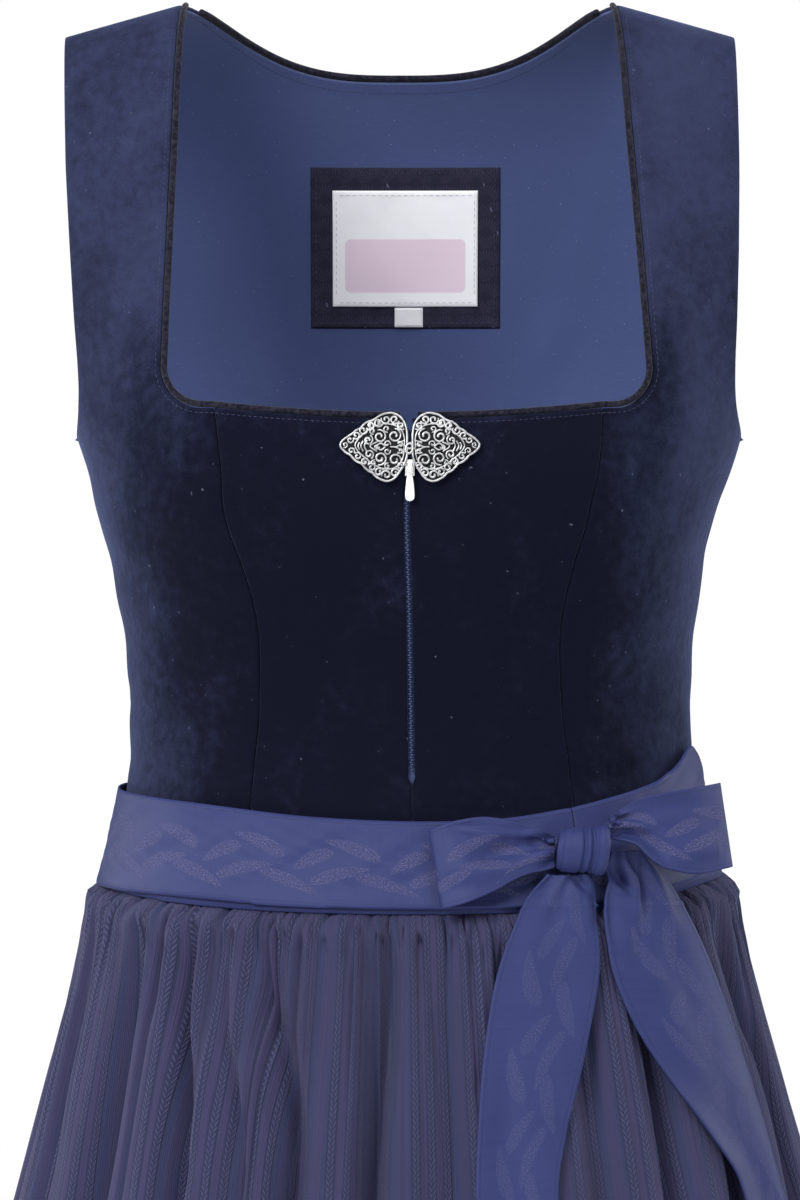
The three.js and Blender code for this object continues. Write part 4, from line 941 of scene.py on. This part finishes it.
# How far each angle is from its place at the hem, next to the waist.
[fanned] = curves([
    (-99, 0), (-75, 0), (-57, -1), (-45, 3.5), (-32, 9), (-20, 5), (-5, -3.4), (8, -1), (30, 1.5), (44, -1),
    (66, 4), (82, 2), (99, 0), (120, -2), (141, 3), (160, 2), (180, -3), (200, 2), (222, -2), (245, 2),
    (261, 0)])
# By the distance below the seam: depth of the big folds and of the small gathers.
fold_depth, gather_depth = curves([
    (0, 0, 0), (2.6, 0, 1.0), (4, 0.3, 3.8), (7, 1.2, 5.8), (12, 3, 4.8), (20, 6.2, 2.3), (34, 10.6, 0.9),
    (62, 15, 0.3), (112, 18.5, 0.1), (180, 20, 0), (270, 20.5, 0), (370, 21, 0), (480, 21, 0), (660, 21, 0)])
# Creases and ridges pressed in: from an angle and distance below the seam to others, depth, and width in
# degrees.
CREASES = [
    (-90, 12, -92, 90, 1.6, 1.5), (-76, 8, -81, 130, 2.0, 1.8), (-66, 30, -65, 120, -1.4, 2.2),
    (-51, 6, -50, 60, 2.2, 1.3), (-37.5, 8, -35, 55, 2.4, 1.3), (-27, 6, -26, 48, 2.6, 1.3),
    (-17, 14, -15.5, 80, 1.4, 1.6), (-11, 5, -9, 40, 1.8, 1.2), (1, 8, 2, 46, 1.6, 1.2),
    (15, 60, 9, 88, 2.4, 2.0), (9, 62, 6.5, 160, 3.0, 2.2), (22, 10, 24, 66, 2.2, 1.4),
    (51, 12, 53, 74, 2.0, 1.5), (62, 8, 67, 80, 2.6, 1.8), (77, 8, 81, 96, 2.4, 1.8),
    (90, 12, 91, 70, 1.8, 1.6), (120, 12, 124, 120, 2.4, 2.0), (134, 8, 133, 60, 1.8, 1.5),
    (148, 10, 150, 100, 2.6, 1.8), (163, 14, 161, 130, 2.0, 1.8), (178, 10, 176, 140, 2.4, 2.0),
    (190, 8, 192, 70, 1.8, 1.5), (205, 10, 203, 94, 2.8, 2.0), (218, 12, 220, 76, 1.8, 1.6),
    (232, 12, 236, 130, 2.4, 2.0), (250, 8, 249, 90, 2.0, 1.7), (-66, 150, -69, 430, 2.6, 2.0),
    (-50, 190, -47, 520, 2.8, 1.8), (-36, 150, -35, 360, 1.8, 1.6), (-15, 150, -16, 420, 2.4, 1.8),
    (-2, 230, 1, 560, 2.6, 1.9), (24, 140, 26, 400, 2.4, 1.7), (37, 210, 36, 540, 2.2, 1.7),
    (63, 150, 64, 350, 2.0, 1.7), (77, 170, 79, 440, 2.6, 1.9), (106, 160, 104, 430, 2.2, 1.9),
    (134, 180, 137, 440, 2.6, 1.9), (162, 140, 160, 390, 2.4, 1.8), (190, 210, 192, 540, 2.6, 1.9),
    (217, 150, 219, 400, 2.2, 1.8), (247, 190, 250, 460, 2.4, 1.9)]


def valley(degrees):
    """0 on the ridge of a big fold and up to 1 in a valley."""
    angles, depths, leans = VALLEYS.T
    n = np.clip(np.searchsorted(angles, degrees, "right") - 1, 0, len(angles) - 2)
    t = np.clip((degrees - angles[n]) / (angles[n + 1] - angles[n]), 0, 1)
    rise = np.sin(np.pi * (t - leans[n] * np.sin(np.pi * t) ** 2))
    shape = 0.7 * (1 - smooth(rise, 0.05, 0.85)) + 0.3 * (1 - rise)
    return between(depths[n], depths[n + 1], t) * shape


def pressed_creases(degrees, below):
    """How far the listed creases push the cloth in."""
    pushed = 0
    for angle, start, to_angle, end, depth, width in CREASES:
        aside = (degrees - between(angle, to_angle, np.clip((below - start) / (end - start), 0, 1))) / width
        ends = smooth(below, start * 0.4, between(start, end, 0.3))
        ends = ends * (1 - smooth(below, between(start, end, 0.6), end))
        pushed = pushed + depth * ends * (np.exp(-aside ** 2) - 0.3 * np.exp(-(aside - 2) ** 2))
    return pushed


def drift(values, seed, period, reach):
    """Slow uneven waves over some values: a few sines whose phases come from a seed."""
    chance = np.random.default_rng(seed)
    return reach * sum(np.sin(2 * np.pi * values / (period * scale) + chance.uniform(0, 6.28)) / (n + 1)
                       for n, scale in enumerate((1, 0.61, 0.37)))


def gathered(start, end, gathers, top, hem, lift, columns, rows, seed):
    """A gathered panel between two angles, and the place of each of its points on the flat cloth."""
    u = np.linspace(0, 1, columns)[None, :]
    degrees = between(start, end, u)
    top = top(degrees)
    share = np.linspace(0, 1, rows)[:, None] ** 1.9
    below = share * (top - hem)
    # Each gather slants and runs down as far as it does by chance, and some of them join lower down.
    phase = gathers * u + drift(u, seed, 0.11, 0.4)
    phase = phase + drift(phase, seed + 7, 2.3, 0.7) * smooth(below, 0, 18)
    reach = 1 + drift(phase, seed + 1, 2.7, 0.42)
    small = gather_depth(below / np.maximum(reach, 0.4)) * (0.8 + drift(phase, seed + 2, 1.9, 0.3))
    small = small * (1 - np.abs(np.sin(np.pi * phase)) ** 0.6)
    joined = phase / 3 + drift(u, seed + 3, 0.09, 0.25)
    pairs = 4.4 * smooth(below, 3, 22) * (1 - smooth(below / np.maximum(reach, 0.5), 40, 150))
    pairs = pairs * (0.6 + drift(joined, seed + 4, 1.7, 0.35)) * (1 - np.abs(np.sin(np.pi * joined)))
    crumple = 0.7 * np.sin(below / 2.4 + 4.3 * phase) * np.exp(-below / 14) * smooth(below, 4, 8)
    shown = min(gathers, 1)
    # The big folds and the creases are the same in the skirt and in the apron over it.
    shifted = degrees + fanned(degrees) * (1 - smooth(below, 8, 120)) + drift(below, 16, 420, 0.5)
    opened = np.maximum(below + drift(degrees, 21, 33, 7) * smooth(below, 4, 40), 0)
    big = fold_depth(opened) * valley(shifted)
    big = big + smooth(below, 90, 360) * drift(degrees, 17, 11, 0.8) + pressed_creases(degrees, below)
    points = ring(degrees, top - below, lift(below) - shown * (small + pairs + crumple) - big)
    # The flat cloth is as wide as this row, where the small gathers have opened.
    width = np.linalg.norm(np.diff(points[int(rows * 0.46)], axis=0), axis=1)
    flat_x = np.concatenate([[0], np.cumsum(width)])
    cloth = np.stack(np.broadcast_arrays(flat_x[None, :], below), -1)
    return points, cloth


def waist_seam(degrees):
    """The height of the skirt's top edge, which dips at the front."""
    across = np.abs(ring(degrees, WAIST_SEAM, 0)[..., 0] - sway(WAIST_SEAM))
    across = np.minimum(across, WAIST_HALF)
    front = np.cos(np.radians(degrees)) > 0
    return np.where(front, along_at(waist_along(across)), WAIST_SEAM) - 0.6


skirt_cotton = new_material("skirt_cotton", Specular_IOR_Level=0.2, Roughness=0.9, Sheen_Weight=0.2,
                            Sheen_Tint=(0.4, 0.5, 0.9))
across, down, flat_place = on_cloth()
weave = across.sine(0.6) * down.sine(0.6)
cloud = noise(0.02, flat_place, 3)
skirt_colour = blend(cloud, (0.014, 0.019, 0.062), (0.021, 0.028, 0.085))
slub = noise(1, flat_place, 2, (1.5, 0.08, 1)).rise(0.55, 0.75)
skirt_colour = blend(slub * 0.3, skirt_colour, (0.04, 0.05, 0.13))
finish(skirt_colour, weave * 0.2, 0.0002, 0.4)

# From and to, in degrees from the front; gathers; how far it lies in; columns and rows; flat size.
SKIRT_PANELS = {
    "front": (-SIDE_SEAM_ANGLE + 0.07, SIDE_SEAM_ANGLE - 0.07, 0, 2.4, 300, 60, (1.05, 0.64)),
    "back": (SIDE_SEAM_ANGLE + 0.07, 360 - SIDE_SEAM_ANGLE - 0.07, 46, 0, 460, 80, (0.86, 0.65)),
}
for side, (start, end, gathers, sunk, columns, rows, flat) in SKIRT_PANELS.items():
    # Under the apron's gathers the front panel lies flat and further in.
    points, cloth = gathered(start, end, gathers, waist_seam, SKIRT_HEM, lambda below: -sunk, columns, rows,
                             11)
    panel = cloth_mesh(f"cotton_skirt_{side}", points, 1.2, [skirt_cotton], cloth)
    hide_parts(f"skirt_{side}")

# ---------------------------------------------------------------- apron
# Dusty indigo cloth woven in stripes, some of them plaited like a braid. It is gathered finely into the
# waistband, and the gathers open into soft folds over the skirt.
APRON_ANGLE = 97
APRON_HEM = -980
BAND_SHOWS = 1.7
# By the distance below the seam, how far the apron stands out from the skirt's section.
[apron_lift] = curves([
    (0, 0.7), (2.6, 0.8), (4.2, 3), (8, 6.4), (14, 7), (22, 6.2), (40, 5.2), (80, 4.6), (700, 4.4)])


def band_bottom(degrees):
    """The height of the waistband's lower edge, which shows a little under the ribbon at the front."""
    low = between(-384.5, -392.3, np.maximum(np.cos(np.radians(degrees)), 0)) - 0.2
    return low - BAND_SHOWS * smooth(degrees, -75, -30) + 5.5 * smooth(degrees, 40, 70)


striped = new_material("striped_apron_cloth", Specular_IOR_Level=0.2, Roughness=0.85, Sheen_Weight=0.12,
                       Sheen_Roughness=0.4, Sheen_Tint=(0.6, 0.62, 0.95))
across, down, flat_place = on_cloth()
REPEAT = 31.0
BRAIDS = (3.6, 11.6, 19.6)       # where the plaited stripes lie in one repeat
BRAID_HALF, STRAND_PITCH = 1.9, 2.55
at = across.within(REPEAT)
# Smooth warp bands between the braids, each a little bluer or more violet, with fine lines between them.
violet = at.rise(5.6, 6.2) - at.rise(8.6, 9.2) + at.rise(13.8, 14.4) - at.rise(17, 17.4)
violet = violet + at.rise(25, 25.6) * 0.7
lines = abs(across.sine(2.1)).rise(0.86, 1)
stripe_colour = blend(violet, (0.03, 0.035, 0.09), (0.04, 0.036, 0.092))
stripe_colour = blend(lines * 0.16, stripe_colour, (0.022, 0.023, 0.05))
thread = across.sine(0.7) * 0.5 + 0.5
stripe_colour = blend(thread * 0.12, stripe_colour, (0.018, 0.018, 0.04))
relief = thread * 0.15 - lines * 0.4
for centre in BRAIDS:
    off = at - centre
    aside = abs(off)
    braid = 1 - aside.rise(BRAID_HALF - 0.3, BRAID_HALF)
    # Two rows of slanting strands, the left one half a strand below the right.
    half_step = off.rise(-0.05, 0.05) * (STRAND_PITCH / 2)
    strand = (down + aside * 1.7 + half_step).sine(STRAND_PITCH).rise(-0.35, 0.7)
    strand = strand * aside.rise(0.05, 0.45) * (1 - aside.rise(1.3, 1.75))
    edge = (1 - abs(aside - BRAID_HALF - 0.1).rise(0.1, 0.45)) * 0.6
    stripe_colour = blend(edge, stripe_colour, (0.02, 0.02, 0.047))
    stripe_colour = blend(braid * 0.7, stripe_colour, (0.026, 0.026, 0.062))
    stripe_colour = blend(braid * strand * 0.75, stripe_colour, (0.07, 0.072, 0.17))
    relief = relief + braid * (strand + 0.3) - edge * 0.5
cloud = noise(0.03, flat_place, 3)
stripe_colour = blend(cloud.rise(0.3, 0.75) * 0.2, stripe_colour, (0.026, 0.026, 0.05))
finish(stripe_colour, relief, 0.0005, 0.8)

points, cloth = gathered(-APRON_ANGLE, APRON_ANGLE, 74, lambda degrees: band_bottom(degrees) + 2.5, APRON_HEM,
                         apron_lift, 600, 80, 5)
apron = cloth_mesh("striped_apron", points, 1.0, [striped], cloth)
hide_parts("apron")

# ---------------------------------------------------------------- waistband and sash
# Indigo satin ribbon, 42 mm wide, with woven leaves. The apron's narrow waistband is of plain satin, and the
# ribbon is sewn over it and goes once round the waist.
RIBBON, RIBBON_WIDTH = 1.2, 42
BAND_OUT = 2.3
SASH_OUT = 4.3
SASH_JOIN = 37
# By angle from the front, the heights of the ribbon's two edges.
sash_front_top, sash_front_bottom = curves([
    (-99, -343, -384.5), (-75, -344.5, -386.5), (-50, -348, -388), (-25, -353, -391), (0, -355, -392.3),
    (20, -354, -391.8), (SASH_JOIN, -349.6, -390)])
sash_back_top, sash_back_bottom = curves([
    (SASH_JOIN, -349.6, -390), (45, -346, -387.5), (53, -342, -385), (61, -337, -382.5), (67, -331, -379.5),
    (72.5, -324.5, -375.5), (77, -327.5, -373), (84, -333.5, -372.5), (92, -333, -373.5), (115, -339, -380),
    (150, -343.5, -385), (200, -344, -385.5), (261, -343, -384.5)])

# The woven leaves are feathery and have no stem. Four of them repeat along the ribbon: both ends of each,
# along it and from its middle; the half width; and how much fuller it starts.
LEAF_REPEAT = 42.0
LEAVES = [(13, 10, 38, 2, 3.1, -0.8), (0, -4, 17, 5, 3.1, -0.6), (8, -10, 33, -2.5, 2.9, 0.7),
          (27, -6, 54, -15, 2.8, 0.7)]


def leaf_mask(along, aside):
    """Where the woven leaves are, 0 to 1, by the place along the ribbon and from its middle."""
    mask = 0
    frayed = noise(0.8, Wire.node("CombineXYZ", {}, {"X": along, "Y": aside}), 2) * 3 - 1.5
    for x, y, to_x, to_y, half, fuller in LEAVES:
        length = math.hypot(to_x - x, to_y - y)
        c, s = (to_x - x) / length, (to_y - y) / length
        past, over = (along - x).within(LEAF_REPEAT), aside - y
        run = (past * c + over * s) / length
        # The leaf is bowed a little, and its barbs slant back from the rib.
        off = abs(over * c - past * s - (run * (1 - run)) * 5)
        inside = (run * (1 - run)).math("MAXIMUM", 0).math("SQRT") * (2 * half) * (1 + fuller * (0.5 - run))
        barbs = (run * length + off * math.copysign(1.5, fuller) + frayed).sine(1.5).rise(-0.5, 0.4)
        leaf = (inside - off + frayed * 0.3).rise(-0.3, 0.5) * (barbs * 0.85 + 0.15)
        mask = leaf.math("MAXIMUM", mask)
    return mask


def satin_ribbon(name, shown):
    """Satin with a hem line near each edge, and woven leaves that show by this much."""
    material = new_material(name, Specular_IOR_Level=0.14)
    along, aside, flat_place = on_cloth()
    cloud = noise(0.035, flat_place, 2)
    weft = along.sine(0.55)
    colour = blend(cloud, (0.023, 0.03, 0.104), (0.03, 0.038, 0.126))
    slub = noise(1, flat_place, 1, (0.9, 0.04, 1)).rise(0.5, 0.8)
    colour = blend(slub * 0.25, colour, (0.017, 0.021, 0.075))
    hem = 1 - abs(abs(aside) - (RIBBON_WIDTH / 2 - 2)).rise(0.12, 0.4)
    colour = blend(hem * 0.3, colour, (0.01, 0.012, 0.045))
    height = weft * 0.15 - hem * 0.25
    rough = 0.5
    if shown:
        grain = noise(1, flat_place, 2, (1.6, 1.6, 1)).rise(0.4, 0.62)
        leaves = leaf_mask(along, aside) * shown
        colour = blend(leaves * (grain * 0.8 + 0.2), colour, (0.11, 0.115, 0.24))
        colour = blend(leaves * (1 - grain) * 0.5, colour, (0.02, 0.016, 0.035))
        height = height + leaves * (grain * 0.8 + 0.3)
        rough = leaves * 0.25 + 0.5
    finish(colour, height, 0.00025, 0.6, Roughness=rough)
    return material


def ribbon_cloth(points, start=0.0):
    """The place of each point of a ribbon on it: along from a start, and from its middle line."""
    rows, columns = points.shape[:2]
    middle = points[rows // 2]
    run = np.concatenate([[0], np.cumsum(np.linalg.norm(np.diff(middle, axis=0), axis=1))]) + start
    aside = np.linspace(RIBBON_WIDTH / 2, -RIBBON_WIDTH / 2, rows)
    return np.stack(np.meshgrid(run, aside), -1)


plain_satin = satin_ribbon("plain_satin", 0)
leaf_satin = satin_ribbon("leaf_satin", 1)
tail_satin = satin_ribbon("tail_satin", 0.35)


def waist_ribbon(start, end, top, bottom, out, columns, rows, wave):
    """A ribbon round the waist between two angles, with soft waves along it."""
    degrees = np.linspace(start, end, columns)[None, :]
    v = np.linspace(0, 1, rows)[:, None]
    z = between(top(degrees), bottom(degrees), v)
    ripple = drift(degrees + 30 * v, 3, 26, 0.5) + drift(degrees - 60 * v, 8, 9, 0.22)
    ripple = wave * ripple * np.sin(np.pi * v)
    pinch = -0.25 * (np.exp(-(v / 0.03) ** 2) + np.exp(-((1 - v) / 0.03) ** 2))
    return ring(degrees, z, out + ripple + pinch)


points = waist_ribbon(-97, 97, lambda a: band_bottom(a) + 38, band_bottom, BAND_OUT, 200, 10, 0)
band = cloth_mesh("satin_waistband", points, RIBBON, [plain_satin], ribbon_cloth(points))
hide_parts("apron_waistband")

# The ribbon is pulled up over the wearer's left hip, where its top edge stands up in a fold.
SASH_CREASES = [
    (123.5, -326, 113.5, -342, 1.1, 1.3), (121, -328, 108, -344, -0.7, 2.0), (62, -352, 40, -358, 0.7, 4),
    (100, -352, 122, -356, 0.8, 3), (-20, -384, 10, -380, 0.8, 3.5), (-104, -356, -72, -352, 0.4, 4)]
for side, start, end, top, bottom, columns in (
        ("front", -98.93, SASH_JOIN - 0.1, sash_front_top, sash_front_bottom, 260),
        ("back", SASH_JOIN + 0.1, 260.93, sash_back_top, sash_back_bottom, 340)):
    points = creased(waist_ribbon(start, end, top, bottom, SASH_OUT, columns, 26, 0.55), SASH_CREASES)
    sash = cloth_mesh(f"satin_sash_{side}", points, RIBBON, [leaf_satin], ribbon_cloth(points))
    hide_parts(f"sash_{side}")

# ---------------------------------------------------------------- bow
# The ribbon's ends are tied on the wearer's left: two loops, a wrapped knot and two tails. Each loop leaves
# the knot, turns back at its tip and returns behind itself.
LOOPS = {   # by place along the loop: x and z of the top edge, x and z of the bottom edge, y
    "right": [(64.6, -361, 64.6, -374, -106.5), (51, -356, 50, -378, -111), (36, -352.8, 38, -384, -113.5),
              (22.5, -354.2, 27, -388.3, -115), (12.4, -357.5, 17.5, -391, -113),
              (10.2, -358.6, 15.8, -391.2, -110.4), (12.5, -358.5, 18, -390.4, -108),
              (30, -360, 32, -386, -107.2), (48, -361, 48, -378, -105), (63.6, -364, 63.6, -373.6, -102)],
    "left": [(88.4, -353, 88.4, -362, -106), (99, -346.4, 98.4, -364.2, -105.4),
             (112, -343, 110.5, -374, -102), (125, -341, 126, -377.6, -95.5),
             (135, -339.6, 139, -375.8, -87), (137.4, -339.4, 142.2, -375.2, -82.5),
             (134, -341, 138, -375, -79.5), (119, -346, 120, -373, -84.5), (103, -352, 102, -365, -91.5),
             (89.4, -356, 89.4, -363, -98)],
}
# Pressed into each loop's front, from (x, z) to (x, z), with depth and width.
LOOP_CREASES = {
    "right": [(66, -362.6, 51, -363.8, 2.2, 2.0), (53, -363.2, 33, -370.5, 2.6, 4.2),
              (37, -370, 19, -356, 1.6, 4.5), (65, -366, 47, -373.5, -1.7, 2.6),
              (49, -373, 26, -377, -1.5, 4), (66, -370.5, 57, -375, 1.6, 1.7),
              (20, -355.6, 54, -358.6, 0.9, 1.2), (66, -364.6, 57, -366.4, 1.2, 1.1),
              (30, -381, 14, -384, 0.7, 4)],
    "left": [(87, -358.6, 104, -361.6, 2.0, 2.0), (101, -360, 114, -371, 2.4, 3.4),
             (87, -356, 106, -357.5, -1.4, 1.7), (87, -353.4, 98, -353.6, 1.3, 1.3),
             (97, -350, 129, -347.5, 1.0, 3.4), (110, -360, 140, -352, 0.9, 5),
             (116, -371, 140, -366, -0.8, 4)],
}
KNOT_X, KNOT_Y, KNOT_Z = KNOT = 76.6, -107, -367
KNOT_WIDTH, KNOT_DEPTH, KNOT_HEIGHT = 23, 17, 20.6
LOOP_TIP = 4                              # the row of each table at which the loop turns back
LOOP_START = {"right": 30, "left": 16}    # where on the ribbon each loop begins


def lean(z):
    """A loop leans out with the front of the dress, which flares below the waist."""
    return body_front(along_at(z)) - body_front(along_at(KNOT_Z))


for side, rows in LOOPS.items():
    table = np.array(rows, float)
    step = np.linalg.norm(np.diff(table[:, [0, 1, 4]], axis=0), axis=1) ** 0.5
    knots = np.concatenate([[0], np.cumsum(step)])
    top_x, top_z, bottom_x, bottom_z, depth_y = curves(np.column_stack([knots, table]))
    u = np.linspace(0, knots[-1], 200)[None, :]
    v = np.linspace(0, 1, 44)[:, None]
    x, z = between(top_x(u), bottom_x(u), v), between(top_z(u), bottom_z(u), v)
    from_knot = np.abs(x - KNOT_X) - KNOT_WIDTH / 2
    pleats = np.exp(-np.maximum(from_knot, 0) / 12) * np.sin(np.pi * v)
    fold = 0.8 * np.cos(2 * np.pi * (2.3 * v + 0.1)) + 0.4 * np.cos(2 * np.pi * (5.3 * v + 0.4))
    sag = np.sin(np.pi * v) ** 2 * np.sin(u / knots[-1] * 9 + 1)
    points = np.stack([x, depth_y(u) - lean(z) + pleats * fold + sag, z], -1)
    in_front = 1 - smooth(u, knots[LOOP_TIP] - 1, knots[LOOP_TIP])
    points = between(points, creased(points, LOOP_CREASES[side]), in_front[..., None])
    cloth = ribbon_cloth(points, LOOP_START[side])
    loop = cloth_mesh(f"satin_loop_{side}", points, RIBBON, [leaf_satin], cloth, facing=(0, -1, 0))
    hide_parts(f"bow_loop_{side}")

# The knot is a turn of the ribbon round both loops, pulled into curved pleats: place across it, depth, width.
KNOT_PLEATS = [(0.46, 0.16, 0.035), (0.6, 0.2, 0.04), (0.69, 0.1, 0.03), (0.14, 0.06, 0.03)]
s = np.linspace(0, 1, 90)[None, :]
turn = np.radians(np.linspace(-200, 160, 70))[:, None]
aside = np.interp(s, [0, 0.08, 0.92, 1], [-0.62, -1, 1, 0.62])
tuck = np.interp(s, [0, 0.03, 0.08, 0.15, 0.85, 0.92, 0.97, 1],
                 [0.62, 0.66, 0.84, 0.96, 0.97, 0.82, 0.66, 0.62])
swell = tuck * (0.9 + 0.1 * (1 - aside ** 2)) + 0.04 * smooth(s, 0.62, 0.8) * (1 - smooth(s, 0.88, 0.96))
for at, depth, wide in KNOT_PLEATS:
    bowed = s - at - 0.07 * np.cos(turn - 0.15)
    swell = swell - depth * np.exp(-(bowed / wide) ** 2) * (0.55 + 0.45 * np.cos(turn))
waist = 1 - 0.05 * np.abs(np.sin(turn))
points = np.stack(np.broadcast_arrays(
    KNOT_X + aside * KNOT_WIDTH / 2 * waist + 0.8 * np.sin(turn),
    KNOT_Y - np.cos(turn) * swell * KNOT_DEPTH / 2,
    KNOT_Z + np.sin(turn) * swell * (KNOT_HEIGHT + 2.4 * smooth(s, 0.5, 0.8)) / 2), -1)
knot = cloth_mesh("satin_knot", points, 1.0, [plain_satin], facing=points[:-1, :-1] - np.array(KNOT))
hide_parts("bow_knot")

# Height of the top and of the end, and how far the end slants; by height, the angles of both edges from the
# front and the distance out from the skirt's section; then the creases under the knot.
TAILS = {
    "right": (-377.6, -800, 22, [
        (-830, 8.8, 18.2, 6.6), (-700, 8.9, 19.3, 6.6), (-600, 9, 20.2, 6.6), (-511, 9.2, 22.2, 7),
        (-486, 10, 24.7, 7), (-459, 11.5, 28.9, 7.3), (-430, 14.1, 33, 8.1), (-413, 16.6, 35, 8.7),
        (-397, 20.2, 35.7, 10), (-387, 23, 36.5, 11), (-377.6, 28, 36.4, 12)],
        [(70, -376, 79.5, -384, 1.7, 1.7), (76, -375, 82, -386, -1.2, 1.6),
         (81.6, -383, 82.4, -400, 1.5, 1.6), (66, -377, 57, -390, 1.0, 2.4),
         (72, -378, 70, -396, -0.8, 2.6), (62, -384, 60, -420, 0.6, 5), (74, -400, 66, -440, 0.8, 6),
         (45, -440, 42, -500, 0.8, 5)]),
    "left": (-368, -830, -22, [
        (-860, 58.6, 67.6, 6.6), (-700, 58, 67.2, 6.6), (-600, 57.3, 66, 6.6), (-511, 54.2, 63.4, 7),
        (-486, 49.2, 63, 7), (-465, 44.1, 61.8, 7.1), (-445, 39.9, 60.3, 7.7), (-425, 37.3, 58.2, 8.4),
        (-412, 36.6, 56.6, 9.2), (-394, 37.4, 54, 10.6), (-381, 39, 51.6, 12), (-368, 40.6, 47.6, 14)],
        [(88, -374, 98, -384, 2.8, 2.2), (91, -380.5, 97.5, -382, 1.6, 2.2),
         (91, -369, 101, -385, -1.6, 2.0), (102.6, -370, 104.6, -398, 1.7, 1.9),
         (88, -386, 89.5, -404, 1.3, 2.4), (96, -368, 99.5, -377, 1.4, 1.2),
         (108, -376, 116, -400, -0.9, 2.6), (102, -398, 101, -416, 1.2, 3.2),
         (115, -412, 148, -492, 0.8, 6)]),
}
for side, (top, end, slant, rows, creases) in TAILS.items():
    edge_from, edge_to, stands = curves(rows)
    u, v = np.linspace(0, 1, 44)[None, :], np.linspace(0, 1, 220)[:, None] ** 1.4
    z = between(top, end + slant * (u - 0.5), v)
    pleats = np.exp(-v * 16) * (0.8 * np.cos(2 * np.pi * (2.2 * u + 0.3)) - 0.2)
    wave = 0.9 * np.sin(2 * np.pi * (1.1 * u - 2.3 * v)) + 0.5 * np.sin(9 * v + 4 * u)
    wave = smooth(v, 0.05, 0.3) * wave
    points = ring(between(edge_from(z), edge_to(z), u), z, stands(z) + pleats + wave)
    points = creased(points, creases).transpose(1, 0, 2)
    tail = cloth_mesh(f"satin_tail_{side}", points, RIBBON, [tail_satin], ribbon_cloth(points, 20))
    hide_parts(f"bow_tail_{side}")
